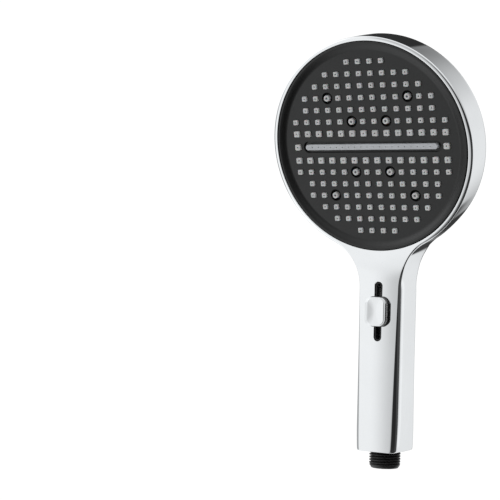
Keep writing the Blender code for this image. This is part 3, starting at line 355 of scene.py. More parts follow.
def add_floor():
    """A plain pale disc below the object, bright enough to run into the backdrop."""
    bm = bmesh.new()
    bmesh.ops.create_circle(bm, cap_ends=True, segments=96, radius=FLOOR_RADIUS)
    mesh = bpy.data.meshes.new("floor")
    bm.to_mesh(mesh)
    bm.free()
    floor = bpy.data.objects.new("floor", mesh)
    floor.location = (0, 0, FLOOR_HEIGHT)
    floor.visible_glossy = False  # the reflections show the studio, which has its own floor
    bpy.context.scene.collection.objects.link(floor)
    material, _, shader = new_material("pale_floor", Roughness=0.9, Emission_Strength=FLOOR_GLOW)
    shader.inputs["Base Color"].default_value = grey(0.8)
    shader.inputs["Emission Color"].default_value = grey(1.0)
    mesh.materials.append(material)


# ---------------------------------------------------------------- materials


def new_material(name, metallic=0.0, **sockets):
    """A Principled material, its node helper and its shader; sockets are set as given."""
    material = bpy.data.materials.new(name)
    material.use_nodes = True
    shader = material.node_tree.nodes["Principled BSDF"]
    shader.inputs["Metallic"].default_value = metallic
    for key, value in sockets.items():
        shader.inputs[key.replace("_", " ")].default_value = value
    return material, Nodes(material.node_tree), shader


def noise(nodes, scale, detail=3.0, roughness=0.5, stretch=(1, 1, 1)):
    """Noise from 0 to 1 over the object; scale is per metre and stretch multiplies it by axis."""
    where = nodes.add("ShaderNodeTexCoord", "Object")
    if stretch != (1, 1, 1):
        where = nodes.add("ShaderNodeMapping", inputs={"Vector": where, "Scale": stretch})
    inputs = {"Vector": where, "Scale": scale, "Detail": detail, "Roughness": roughness}
    return nodes.add("ShaderNodeTexNoise", "Fac", inputs)


def bump(nodes, shader, height, distance, strength):
    inputs = {"Height": height, "Distance": distance, "Strength": strength}
    nodes.put(shader.inputs["Normal"], nodes.add("ShaderNodeBump", inputs=inputs))


def grey(value, tint=(1.0, 1.0, 1.0)):
    """An opaque, linear colour."""
    return (value * tint[0], value * tint[1], value * tint[2], 1.0)


def chrome_material():
    """Polished plating: soft waviness from the moulding, faint haze and hairline wipe marks."""
    material, nodes, shader = new_material("polished_chrome", metallic=1.0)
    haze = noise(nodes, 45, 4.0, 0.6)
    wipes = noise(nodes, 900, 2.0, 0.5, (1.0, 1.0, 0.05))
    tone, cool = nodes.ramp(haze, 0.35, 0.7), (0.99, 1.0, 1.01)
    nodes.put(shader.inputs["Base Color"], nodes.mix(tone, grey(0.885, cool), grey(0.905, cool)))
    rough = nodes.ramp(wipes, 0.45, 0.8, 0.035, 0.075)
    nodes.put(shader.inputs["Roughness"], rough)
    wave = noise(nodes, 38, 1.0, 0.4)
    bump(nodes, shader, wave, 0.06 * MM, 0.25)
    return material


def plastic_material(
    name, level, roughness, tint=(1, 1, 1), grain=2600, spread=0.12, specular=0.45
):
    """Moulded plastic with a fine spark-eroded grain and slightly uneven gloss and tone."""
    material, nodes, shader = new_material(name, Specular_IOR_Level=specular)
    mottle = nodes.ramp(noise(nodes, 70, 4.0, 0.6), 0.3, 0.7)
    low, high = grey(level * (1 - spread), tint), grey(level * (1 + spread), tint)
    nodes.put(shader.inputs["Base Color"], nodes.mix(mottle, low, high))
    fine = noise(nodes, grain, 2.0, 0.6)
    gloss = nodes.ramp(fine, 0.3, 0.7, roughness - 0.06, roughness + 0.06)
    nodes.put(shader.inputs["Roughness"], gloss)
    bump(nodes, shader, fine, 0.03 * MM, 0.5)
    return material


def silicone_material():
    """Soft matt rubber that lets a little light in."""
    material, nodes, shader = new_material(
        "nozzle_silicone",
        Subsurface_Weight=0.08,
        Subsurface_Scale=0.6 * MM,
        Specular_IOR_Level=0.4,
    )
    mottle = nodes.ramp(noise(nodes, 260, 3.0, 0.6), 0.3, 0.7)
    nodes.put(shader.inputs["Base Color"], nodes.mix(mottle, grey(0.54), grey(0.62)))
    fine = noise(nodes, 4000, 2.0)
    nodes.put(shader.inputs["Roughness"], nodes.ramp(fine, 0.3, 0.7, 0.5, 0.66))
    bump(nodes, shader, fine, 0.02 * MM, 0.4)
    return material


def steel_material():
    """Bright drawn steel with fine lines along it."""
    material, nodes, shader = new_material("drawn_steel", metallic=1.0)
    lines = noise(nodes, 1800, 2.0, 0.5, (1.0, 1.0, 0.1))
    nodes.put(shader.inputs["Base Color"], nodes.mix(lines, grey(0.52), grey(0.68)))
    nodes.put(shader.inputs["Roughness"], nodes.ramp(lines, 0.3, 0.7, 0.22, 0.36))
    return material


# ---------------------------------------------------------------- mesh helpers


def make_object(name, bm, material, matrix=Matrix(), sharp=32.0):
    """A linked, smooth-shaded object, its points moved by matrix into the shared frame."""
    bmesh.ops.recalc_face_normals(bm, faces=bm.faces)
    mesh = bpy.data.meshes.new(name)
    bm.to_mesh(mesh)
    bm.free()
    mesh.transform(matrix)
    mesh.shade_smooth()
    mesh.set_sharp_from_angle(angle=math.radians(sharp))
    obj = bpy.data.objects.new(name, mesh)
    mesh.materials.append(material)
    bpy.context.scene.collection.objects.link(obj)
    return obj


def add_band(bm, lower, upper):
    """Joins two closed rings of vertices; a ring of one vertex is a pole."""
    count = max(len(lower), len(upper))
    for k in range(count):
        after = (k + 1) % count
        if len(lower) == 1:
            bm.faces.new((lower[0], upper[after], upper[k]))
        elif len(upper) == 1:
            bm.faces.new((lower[k], lower[after], upper[0]))
        else:
            bm.faces.new((lower[k], lower[after], upper[after], upper[k]))


def add_skin(bm, sections, cap_start=True, cap_end=True):
    """A surface through equal-length loops of points, closed at its ends if asked."""
    rings = [[bm.verts.new(point) for point in section] for section in sections]
    for lower, upper in zip(rings, rings[1:]):
        add_band(bm, lower, upper)
    if cap_start:
        bm.faces.new(rings[0][::-1])
    if cap_end:
        bm.faces.new(rings[-1])
    return rings


def at_height(outline, z):
    """The outline's points (x, y) as points in space."""
    return [(x, y, z) for x, y in outline]


def circle(radius, segments, centre=(0, 0), start=0.0):
    angles = [start + 2 * math.pi * k / segments for k in range(segments)]
    return [(centre[0] + radius * math.cos(a), centre[1] + radius * math.sin(a)) for a in angles]


def rounded_rectangle(width, height, radius, centre=(0, 0), steps=6):
    """A rectangle along X and Y, steps edges to each rounded corner."""
    outline = []
    for quarter, (sx, sy) in enumerate(((1, 1), (-1, 1), (-1, -1), (1, -1))):
        cx = centre[0] + sx * (width / 2 - radius)
        cy = centre[1] + sy * (height / 2 - radius)
        for k in range(steps + 1):
            angle = QUARTER * (quarter + k / steps)
            outline.append((cx + radius * math.cos(angle), cy + radius * math.sin(angle)))
    return outline


def stadium(length, width, steps=20, upright=False, centre=(0, 0)):
    """A slot shape along X, or along Y if upright."""
    reach = (length - width) / 2
    outline = []
    for side, start in ((1, -90), (-1, 90)):
        for k in range(steps + 1):
            angle = math.radians(start + 180 * k / steps)
            x = side * reach + width / 2 * math.cos(angle)
            outline.append((x, width / 2 * math.sin(angle)))
    if upright:
        outline = [(-y, x) for x, y in outline]
    return [(centre[0] + x, centre[1] + y) for x, y in outline]


def turned(name, profile, segments, material, matrix=Matrix(), sharp=32.0):
    """A solid of revolution about local Z from a closed profile of (radius, height) points."""
    bm = bmesh.new()
    rings = []
    for radius, height in profile:
        outline = circle(radius, segments) if radius > 0 else [(0.0, 0.0)]
        rings.append([bm.verts.new((x, y, height)) for x, y in outline])
    for lower, upper in zip(rings, rings[1:] + rings[:1]):
        if len(lower) > 1 or len(upper) > 1:
            add_band(bm, lower, upper)
    return make_object(name, bm, material, matrix, sharp)


def lofted(name, sections, material, matrix=Matrix(), sharp=32.0):
    """A closed solid through equal-length loops of points."""
    bm = bmesh.new()
    add_skin(bm, sections)
    return make_object(name, bm, material, matrix, sharp)


def arc(centre, radius, start, end, steps):
    """Points of a fillet in a profile, angles in degrees."""
    points = []
    for k in range(steps + 1):
        angle = math.radians(start + (end - start) * k / steps)
        points.append((centre[0] + radius * math.cos(angle), centre[1] + radius * math.sin(angle)))
    return points


def quarter_round(width, height, steps):
    """Offsets (inwards, upwards) from the foot of a rounded edge to its top, without the foot."""
    turns = [QUARTER * k / steps for k in range(1, steps + 1)]
    return [(width * (1 - math.cos(turn)), height * math.sin(turn)) for turn in turns]


def cut(target, *cutters):
    """Cuts the solids out of target one after another and removes them."""
    for cutter in cutters:
        target.modifiers.clear()
        modifier = target.modifiers.new("cut", "BOOLEAN")
        modifier.operation = "DIFFERENCE"
        modifier.object = cutter
        modifier.solver = "EXACT"
        modifier.material_mode = "TRANSFER"
        settle(target)
        bpy.data.objects.remove(cutter)


def settle(obj, sharp=32.0):
    """Replaces the object's mesh by its evaluated one, clean and smoothly shaded."""
    graph = bpy.context.evaluated_depsgraph_get()
    mesh = bpy.data.meshes.new_from_object(obj.evaluated_get(graph), depsgraph=graph)
    obj.modifiers.clear()
    obj.data = mesh
    mesh.name = obj.name
    bm = bmesh.new()
    bm.from_mesh(mesh)
    bmesh.ops.dissolve_degenerate(bm, dist=1e-7, edges=bm.edges)
    bm.to_mesh(mesh)
    bm.free()
    mesh.shade_smooth()
    mesh.set_sharp_from_angle(angle=math.radians(sharp))
    weighted = obj.modifiers.new("weighted", "WEIGHTED_NORMAL")
    weighted.keep_sharp = True


def prisms(name, outlines, low, high, material, matrix=Matrix(), flare=0.0):
    """One object with a prism for each outline; flare makes a chamfer at the spray face."""
    bm = bmesh.new()
    for outline in outlines:
        sections = [at_height(outline, low)]
        top = outline
        if flare:
            cx = sum(x for x, _ in outline) / len(outline)
            cy = sum(y for _, y in outline) / len(outline)
            grow = 1 + flare / max(math.hypot(x - cx, y - cy) for x, y in outline)
            top = [(cx + (x - cx) * grow, cy + (y - cy) * grow) for x, y in outline]
            sections += [at_height(outline, -FACE_RECESS - flare), at_height(top, -FACE_RECESS)]
        sections.append(at_height(top, high))
        add_skin(bm, sections)
    return make_object(name, bm, material, matrix)


# ---------------------------------------------------------------- chrome shell


def body_depth(s):
    """Depth of the body from front to back, s up it."""
    toward_end = max(END_DEEPENING_TOP - s, 0.0) / (END_DEEPENING_TOP - HANDLE_END)
    in_head = smoothstep(*HEAD_DEEPENS, s)
    return BODY_DEPTH + END_EXTRA_DEPTH * toward_end**2 + HEAD_EXTRA_DEPTH * in_head


def half_width(s):
    """Half the handle's width, s up it."""
    toward_end = max(END_TAPER_TOP - s, 0.0) / (END_TAPER_TOP - HANDLE_END)
    return HANDLE_HALF_WIDTH - (HANDLE_HALF_WIDTH - HANDLE_END_HALF_WIDTH) * toward_end**2


def half_outline(corner_steps=8, side_steps=70, flare_steps=44, head_steps=150):
    """Points (x, s) and outward normals up the right side, from the end corner to the top."""
    points = []
    corner = END_CORNER
    for k in range(corner_steps + 1):
        angle = QUARTER * (k / corner_steps - 1)
        nx, ns = math.cos(angle), math.sin(angle)
        x = HANDLE_END_HALF_WIDTH - corner + corner * nx
        points.append((x, HANDLE_END + corner + corner * ns, nx, ns))
    flare_x = HANDLE_HALF_WIDTH + NECK_FLARE_RADIUS
    flare_s = HEAD_S - math.sqrt((HEAD_RADIUS + NECK_FLARE_RADIUS) ** 2 - flare_x**2)
    for k in range(1, side_steps):
        s = HANDLE_END + corner + (flare_s - HANDLE_END - corner) * k / side_steps
        points.append((half_width(s), s, 1.0, 0.0))
    touch = math.atan2(HEAD_S - flare_s, -flare_x)
    for k in range(flare_steps):
        angle = math.pi + (touch - math.pi) * k / flare_steps
        nx, ns = -math.cos(angle), -math.sin(angle)
        points.append((flare_x - NECK_FLARE_RADIUS * nx, flare_s - NECK_FLARE_RADIUS * ns, nx, ns))
    for k in range(head_steps + 1):
        angle = (touch - math.pi) + (math.pi * 1.5 - touch) * k / head_steps
        nx, ns = math.cos(angle), math.sin(angle)
        points.append((HEAD_RADIUS * nx, HEAD_S + HEAD_RADIUS * ns, nx, ns))
    return points


def edge_rings(s, front_steps=10, back_steps=14):
    """(side inset, end inset, depth) of each ring of the body's skin, from front to back."""
    in_head = smoothstep(*HEAD_STARTS, s)
    past_neck = smoothstep(*NECK_ENDS, s)
    narrows_from, narrows_to = HANDLE_NARROWS
    up_handle = min(1.0, max(0.0, (s - narrows_from) / (narrows_to - narrows_from)))
    front_width = FRONT_ROUND_WIDTH[0] + FRONT_ROUND_WIDTH[1] * past_neck
    front_width -= FRONT_ROUND_NARROWING * up_handle
    front_depth = FRONT_ROUND_DEPTH[0] + FRONT_ROUND_DEPTH[1] * in_head
    front_depth += PAST_NECK_DEPTH * past_neck
    squareness = 1 + PAST_NECK_SQUARENESS * past_neck
    back_round = BACK_ROUND[0] + BACK_ROUND[1] * in_head
    draft = WALL_DRAFT[0] + WALL_DRAFT[1] * in_head
    depth = body_depth(s)
    wall = depth - back_round - front_depth
    web = NECK_WEB * math.exp(-(((s - NECK_WEB_HEIGHT) / NECK_WEB_REACH) ** 2))
    wall_inset = draft * wall - web
    swell = SIDE_SWELL + (HEAD_SWELL - SIDE_SWELL) * in_head
    swell_end = SWELL_END[0] + SWELL_END[1] * in_head
    rings = []
    for k in range(front_steps + 1):
        angle = QUARTER * k / front_steps
        amount = 1 - math.sin(angle) ** squareness
        drop = 1 - max(0.0, math.cos(angle)) ** squareness
        inset = swell + (front_width - swell) * amount
        rings.append((inset, FRONT_END_INSET * amount, front_depth * drop))
    for part in WALL_PARTS:
        turn_in = swell * max(0.0, 1 - part / swell_end) ** 2
        rings.append((turn_in + wall_inset * part, 0.0, front_depth + wall * part))
    for k in range(back_steps + 1):
        angle = QUARTER * k / back_steps
        amount = 1 - math.cos(angle)
        inset = wall_inset + back_round * amount
        rings.append((inset, BACK_END_INSET * amount, depth - back_round * (1 - math.sin(angle))))
    return rings


def add_cap(bm, first_row, pairs, columns, crown):
    """Fills one side of the skin with rows from its left points to its right points."""
    rows = [first_row]
    for left, right, (x, s, depth) in pairs:
        row = [left]
        for k in range(1, columns):
            part = -x + 2 * x * k / columns
            row.append(bm.verts.new(place(part, s, depth + crown(part, x, s))))
        rows.append(row + [right])
    for lower, upper in zip(rows, rows[1:]):
        for k in range(columns):
            bm.faces.new((lower[k], lower[k + 1], upper[k + 1], upper[k]))
    return rows[-1]


def body_solid(material, columns=36):
    """The outside of the shell as one solid: nested rings of the outline between two caps."""
    half = half_outline()
    bm = bmesh.new()
    rings = []
    for index in range(len(edge_rings(0))):
        right = []
        for x, s, nx, ns in half:
            side, end, depth = edge_rings(s)[index]
            if s < HANDLE_END + 1.01 * END_CORNER:
                right.append((x - side, s + end, depth))
            else:
                right.append((max(x - nx * side, 0.0), s - ns * side, depth))
        x0, s0, depth0 = right[0]
        end_row = [(-x0 + 2 * x0 * k / columns, s0, depth0) for k in range(columns + 1)]
        loop = end_row + right[1:] + [(-x, s, d) for x, s, d in right[-2:0:-1]]
        rings.append(([bm.verts.new(place(*point)) for point in loop], right))
    for (lower, _), (upper, _) in zip(rings, rings[1:]):
        add_band(bm, lower, upper)

    def front_crown(x, edge, s):
        handle = 1 - smoothstep(*CROWN_FADES, s)
        return -FRONT_CROWN * handle * (edge**2 - x**2) / HANDLE_HALF_WIDTH**2

    def back_crown(x, edge, s):
        return BACK_CROWN * (edge**2 - x**2) / HEAD_RADIUS**2

    for (verts, right), crown in ((rings[0], front_crown), (rings[-1], back_crown)):
        pairs = [(verts[-k], verts[columns + k], right[k]) for k in range(1, len(right) - 1)]
        last_row = add_cap(bm, verts[: columns + 1], pairs, columns, crown)
        top = verts[columns + len(right) - 1]
        for k in range(columns):
            bm.faces.new((last_row[k], last_row[k + 1], top))
    return make_object("chrome_shell", bm, material, sharp=50)


def handle_cavity(material):
    """The hollow of the handle, open at its lower end and narrowing into the neck's duct."""
    neck_low, neck_high, duct_front, corner = 130.0 * MM, 143.5 * MM, 13.1 * MM, 3.0 * MM
    heights = [HANDLE_END - 3 * MM, 40 * MM, 80 * MM, neck_low, 134 * MM, 137 * MM, 140 * MM]
    heights += [neck_high, 150 * MM, 158 * MM]
    sections = []
    for s in heights:
        back = body_depth(max(s, HANDLE_END)) - SHELL_WALL
        front = SHELL_WALL + duct_front * smoothstep(neck_low, neck_high, s)
        middle = (0, (front + back) / 2)
        outline = rounded_rectangle(2 * CAVITY_HALF_WIDTH, back - front, corner, middle)
        sections.append([place(x, s, depth) for x, depth in outline])
    return lofted("handle_cavity", sections, material)


def head_cavity(material):
    """The hollow of the head, with a small rounded mouth and the face plate's snap groove."""
    floor = -(BODY_DEPTH + HEAD_EXTRA_DEPTH - SHELL_WALL)
    bore, mouth = FACE_BORE_RADIUS, 0.25 * MM
    groove = bore + 0.9 * MM
    profile = [(0, 2 * MM), (bore + mouth, 2 * MM)]
    profile += arc((bore + mouth, -mouth), mouth, 90, 180, 5)
    profile += [
        (bore, -9.8 * MM),
        (groove, -10.6 * MM),
        (groove, -11.4 * MM),
        (bore, -12.2 * MM),
        (68.6 * MM, -20.0 * MM),
        (66.0 * MM, floor + 3.0 * MM),
        (62.0 * MM, floor),
        (0, floor),
    ]
    return turned("head_cavity", profile, 256, material, HEAD_FRAME)


def slot_cavity(material, inside):
    """The slider's slot, unplated inside, its rim rounded by a flare."""
    front, rim = HANDLE_FRONT + FRONT_CROWN, SLOT_RIM
    sections = [(0.0, 12 * MM), (0.0, front - rim)]
    sections += [(out, front - rim + up) for out, up in quarter_round(rim, rim, 5)]
    sections.append((rim, 18 * MM))
    loops = []
    for grow, z in sections:
        outline = stadium(
            SLOT_LENGTH + 2 * grow, SLOT_WIDTH + 2 * grow, upright=True, centre=(0, SLOT_MIDDLE)
        )
        loops.append(at_height(outline, z))
    cavity = lofted("slot_cavity", loops, inside, TO_FRONT)
    cavity.data.materials.append(material)
    for face in cavity.data.polygons:
        face.material_index = int(face.center.y < -(front - rim))
    return cavity


def build_shell(chrome, inside):
    shell = body_solid(chrome)
    cut(shell, head_cavity(chrome), handle_cavity(inside), slot_cavity(chrome, inside))
    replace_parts(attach(shell, "housing"), "body_shell")


# ---------------------------------------------------------------- spray face


def nozzle_places():
    """(x, y, kind) of each nozzle, kind being small, large or round."""
    places = []
    for row, count in ROW_COUNTS.items():
        for side in (1, -1):
            y = side * (row * PITCH_Y + MIDDLE_ROW_GAP)
            for k in range(count):
                column = k - (count - 1) / 2
                kind = "large" if row == 1 else "small"
                if (abs(column), row) in ROUND_PLACES:
                    kind = "round"
                places.append((column * PITCH_X, y, kind))
    for side in (1, -1):
        places.append((side * MIDDLE_ROW_COLUMN * PITCH_X, 0.0, "large"))
    return places


def nozzle_outline(x, y, kind, grow, steps=4):
    """A nozzle's section, with the same number of points for every kind."""
    if kind == "round":
        return circle(NOZZLE_TIP_ROUND / 2 + grow, 4 * (steps + 1), (x, y))
    size = (NOZZLE_TIP_LARGE if kind == "large" else NOZZLE_TIP) + 2 * grow
    corner = max(NOZZLE_CORNER + grow, NOZZLE_LEAST_CORNER)
    return rounded_rectangle(size, size, corner, (x, y), steps)


def build_face(black, shadowed):
    """The spray plate: flat middle, concave rise to a rounded rim, and a hole for each nozzle."""
    rim_in, flat = FACE_RADIUS - FACE_RIM_WIDTH, FACE_FLAT_RADIUS - 0.6 * MM
    profile = [(0, -FACE_RECESS), (flat, -FACE_RECESS)]
    rise, steps = 1.12 * (FACE_RECESS - 0.25 * MM), 10
    for k in range(1, steps + 1):
        radius = flat + (rim_in + 0.5 * MM - FACE_FLAT_RADIUS) * k / steps
        profile.append((radius, -FACE_RECESS + rise * smoothstep(0, 1.25, k / steps)))
    profile += arc((rim_in + 0.7 * MM, -0.6 * MM), 0.6 * MM, 130, 90, 4)
    profile += arc((FACE_RADIUS - FACE_RIM_ROUND, -FACE_RIM_ROUND), FACE_RIM_ROUND, 90, 0, 6)
    profile += [
        (FACE_RADIUS, FACE_SKIRT),
        (FACE_RADIUS - FACE_SKIRT_WALL, FACE_SKIRT),
        (FACE_RADIUS - FACE_SKIRT_WALL, FACE_BACK),
        (0, FACE_BACK),
    ]
    face = turned("spray_face", profile, 256, black, HEAD_FRAME)

    places = nozzle_places()
    rings = [circle(MASSAGE_RECESS_RADIUS, 48, item[:2]) for item in places if item[2] == "round"]
    margin = 2 * BAR_RECESS_MARGIN
    trough = [stadium(BAR_LENGTH + margin, BAR_WIDTH + margin)]
    floor = -FACE_RECESS - GROOVE_DEPTH
    # The round recesses get the darker, duller recess material as painted shade; the bar's recess
    # keeps the face plastic.
    recess_cutters = [
        prisms(name, outlines, floor, MM, material, HEAD_FRAME, flare=GROOVE_CHAMFER)
        for name, outlines, material in (
            ("ring_recesses", rings, shadowed),
            ("bar_recess", trough, black),
        )
    ]
    grow = NOZZLE_DRAFT / 2 + NOZZLE_CLEARANCE
    holes = [nozzle_outline(*item, grow) for item in places]
    opening = [stadium(BAR_LENGTH + 0.6 * MM, BAR_WIDTH + 0.6 * MM)]
    hole_cutters = [
        prisms(name, outlines, FACE_BACK - MM, MM, black, HEAD_FRAME)
        for name, outlines in (("nozzle_holes", holes), ("bar_hole", opening))
    ]
    cut(face, *recess_cutters, *hole_cutters)
    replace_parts(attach(face, "housing"), "face_plate")


def build_nozzles(silicone):
    """The soft mat: every nozzle has rounded edges and a bore, and stands on the mat's disc."""
    bm = bmesh.new()
    for x, y, kind in nozzle_places():
        if kind == "round":
            top, bore, turn = ROUND_NOZZLE_TOP, ROUND_NOZZLE_BORE, 0.0
        else:
            top, bore, turn = NOZZLE_TOP, NOZZLE_BORE, math.radians(9)
        shoulder = top - NOZZLE_EDGE
        sections = [(NOZZLE_DRAFT / 2, MAT_FRONT), (0.02 * MM, shoulder)]
        rounding = quarter_round(NOZZLE_EDGE, NOZZLE_EDGE, 4)
        sections += [(-inwards, shoulder + up) for inwards, up in rounding]
        loops = [at_height(nozzle_outline(x, y, kind, grow), z) for grow, z in sections]
        count = len(loops[0])
        bore_sections = (
            (bore + BORE_FLARE, top),
            (bore, top - BORE_FLARE_DEPTH),
            (bore * 0.9, BORE_END),
        )
        for radius, z in bore_sections:
            loops.append(at_height(circle(radius, count, (x, y), turn), z))
        add_skin(bm, loops, cap_start=False)
    nozzles = make_object("spray_nozzles", bm, silicone, HEAD_FRAME)
    profile = [(0, MAT_BACK), (MAT_RADIUS, MAT_BACK), (MAT_RADIUS, MAT_FRONT), (0, MAT_FRONT)]
    disc = turned("nozzle_mat_disc", profile, 128, silicone, HEAD_FRAME)
    openings = [circle(SCREW_RADIUS, 24, point) for point in SCREW_PLACES]
    openings.append(stadium(BAR_LENGTH + 4.0 * MM, BAR_WIDTH + 4.4 * MM))
    cut(disc, prisms("mat_openings", openings, MAT_BACK - MM, MAT_FRONT + MM, silicone, HEAD_FRAME))
    for piece in (nozzles, disc):
        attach(piece, "housing")
    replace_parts(nozzles, "nozzle_mat")


def build_bar(grey_plastic):
    """The bar of fine jets, with rounded edges, a shallow trough and a row of round jets."""
    shoulder = BAR_TOP - BAR_EDGE
    sections = [(0.0, MAT_FRONT - 0.3 * MM), (0.0, shoulder)]
    sections += [(inwards, shoulder + up) for inwards, up in quarter_round(BAR_EDGE, BAR_EDGE, 5)]
    rim = BAR_EDGE + BAR_RIM
    sections += [(rim, BAR_TOP), (rim + BAR_TROUGH, BAR_TOP - BAR_TROUGH_DEPTH)]
    loops = []
    for inset, z in sections:
        loops.append(at_height(stadium(BAR_LENGTH - 2 * inset, BAR_WIDTH - 2 * inset), z))
    bar = lofted("jet_bar", loops, grey_plastic, HEAD_FRAME, sharp=50)
    first = -(BAR_JETS - 1) / 2
    places = [((first + k) * BAR_JET_PITCH, 0) for k in range(BAR_JETS)]
    jets = [circle(BAR_JET_RADIUS, 16, centre) for centre in places]
    cut(bar, prisms("bar_jets", jets, BAR_TOP - BAR_JET_DEPTH, MM, grey_plastic, HEAD_FRAME))
    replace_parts(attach(bar, "housing"), "curtain_jet_bar")


# ---------------------------------------------------------------- slider


def build_cap(chrome):
    """The button: a dished face, slightly raised inside a flat bezel."""
    middle = (0, SLOT_MIDDLE)

    def outline(inset):
        """The cap's outline drawn in, less at its ends than at its sides."""
        corner = max(CAP_CORNER - inset, 0.6 * MM)
        height = CAP_HEIGHT - 1.3 * inset
        return rounded_rectangle(CAP_WIDTH - 2 * inset, height, corner, middle, 14)

    bezel_level = CAP_FRONT - CAP_RISE
    shoulder = bezel_level - CAP_EDGE
    sections = [(0.1 * MM, CAP_BASE), (0.0, CAP_BASE + 0.1 * MM), (0.0, shoulder)]
    sections += [(inset, shoulder + up) for inset, up in quarter_round(CAP_EDGE, CAP_EDGE, 6)]
    sections.append((CAP_BEZEL, bezel_level))
    for inset, up in quarter_round(CAP_SLOPE, CAP_RISE, 6):
        sections.append((CAP_BEZEL + inset, bezel_level + up))
    loops = [at_height(outline(inset), z) for inset, z in sections]
    face = outline(CAP_BEZEL + CAP_SLOPE)
    reach_x = max(x for x, _ in face)
    reach_y = max(y for _, y in face) - SLOT_MIDDLE
    steps = 16
    for k in range(1, steps):
        size = 1 - k / steps
        loop = []
        for x, y in face:
            across, along = x * size, (y - SLOT_MIDDLE) * size
            dip = (1 - (across / reach_x) ** 2) * (1 - (along / reach_y) ** 2)
            loop.append((across, SLOT_MIDDLE + along, CAP_FRONT - CAP_DISH * dip))
        loops.append(loop)
    cap = lofted("button_cap", loops, chrome, TO_FRONT, 60)
    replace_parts(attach(cap, "slider"), "slider_cap")


def build_grip(black, painted_rib_highlight):
    """The button's lower part: a smooth skirt, and fine upright ribs all round above it, painted
    mid grey as highlight.
    """
    width, height = CAP_WIDTH + 2 * GRIP_LIP, CAP_HEIGHT + 2 * GRIP_LIP
    radius = CAP_CORNER + GRIP_LIP
    dense = rounded_rectangle(width, height, radius, (0, SLOT_MIDDLE), 40)
    dense.append(dense[0])
    lengths = [0.0]
    for (ax, ay), (bx, by) in zip(dense, dense[1:]):
        lengths.append(lengths[-1] + math.hypot(bx - ax, by - ay))
    ribs = round(lengths[-1] / RIB_PITCH)
    count = ribs * 8
    base, segment = [], 0  # count points evenly spaced round the outline
    for k in range(count):
        target = lengths[-1] * k / count
        while lengths[segment + 1] < target:
            segment += 1
        part = (target - lengths[segment]) / (lengths[segment + 1] - lengths[segment])
        (ax, ay), (bx, by) = dense[segment], dense[segment + 1]
        base.append((ax + (bx - ax) * part, ay + (by - ay) * part))

    def ring(inset, rib_depth=0.0):
        """The evenly spaced outline drawn in, with a wave rib_depth deep for the ribs."""
        points = []
        for k, (x, y) in enumerate(base):
            x0, y0 = base[k - 1]
            x1, y1 = base[(k + 1) % count]
            out = Vector((y1 - y0, x0 - x1)).normalized()
            wave = 0.5 - 0.5 * math.cos(2 * math.pi * ribs * k / count)
            pull = inset + rib_depth * wave
            points.append((x - out.x * pull, y - out.y * pull))
        return points

    skirt_top, top = GRIP_BASE + SKIRT_HEIGHT, CAP_BASE - GRIP_GAP
    skirt = [(0.2 * MM, GRIP_BASE), (0.0, GRIP_BASE + 0.2 * MM), (0.0, skirt_top - 0.35 * MM)]
    skirt += [(0.05 * MM, skirt_top - 0.15 * MM), (0.15 * MM, skirt_top), (0.9 * MM, skirt_top)]
    skirt += [(1.0 * MM, skirt_top - 0.1 * MM), (1.0 * MM, GRIP_BASE + 0.05 * MM)]
    rib_sections = [
        (0.1 * MM, RIB_DEPTH, skirt_top - 0.1 * MM),
        (0.5 * MM, RIB_DEPTH, top - 0.2 * MM),
        (0.65 * MM, 0.25 * MM, top),
    ]
    skirt_loops = [at_height(ring(inset), z) for inset, z in skirt]
    rib_loops = [at_height(ring(inset, rib_depth), z) for inset, rib_depth, z in rib_sections]
    grip = lofted("button_grip", skirt_loops, black, TO_FRONT, 50)
    # The ribs take the mid grey material: painted highlight on the black grip.
    grip_ribs = lofted("button_grip_ribs", rib_loops, painted_rib_highlight, TO_FRONT, 50)
    for piece in (grip, grip_ribs):
        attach(piece, "slider")
    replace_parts(grip, "slider_grip")


# ---------------------------------------------------------------- inlet


def thread_radius(angle, z):
    """Radius of the threaded surface: a cylinder, rounded at its nose, with a helical groove."""
    nose = min(1.0, max(0.0, (z - NOSE_START) / (NOSE_END - NOSE_START)))
    radius = NOSE_RADIUS + (THREAD_MAJOR_RADIUS - NOSE_RADIUS) * (1 - (1 - nose) ** 2.4)
    phase = (z / THREAD_PITCH - angle / (2 * math.pi)) % 1.0
    groove = smoothstep(0.25, 1.0, abs(2 * phase - 1))
    turn = (z - THREAD_START) / THREAD_PITCH
    fade = smoothstep(0.0, 0.5, turn) * (1 - smoothstep(THREAD_TURNS - 0.7, THREAD_TURNS, turn))
    return radius - (THREAD_MAJOR_RADIUS - THREAD_ROOT_RADIUS) * groove * fade


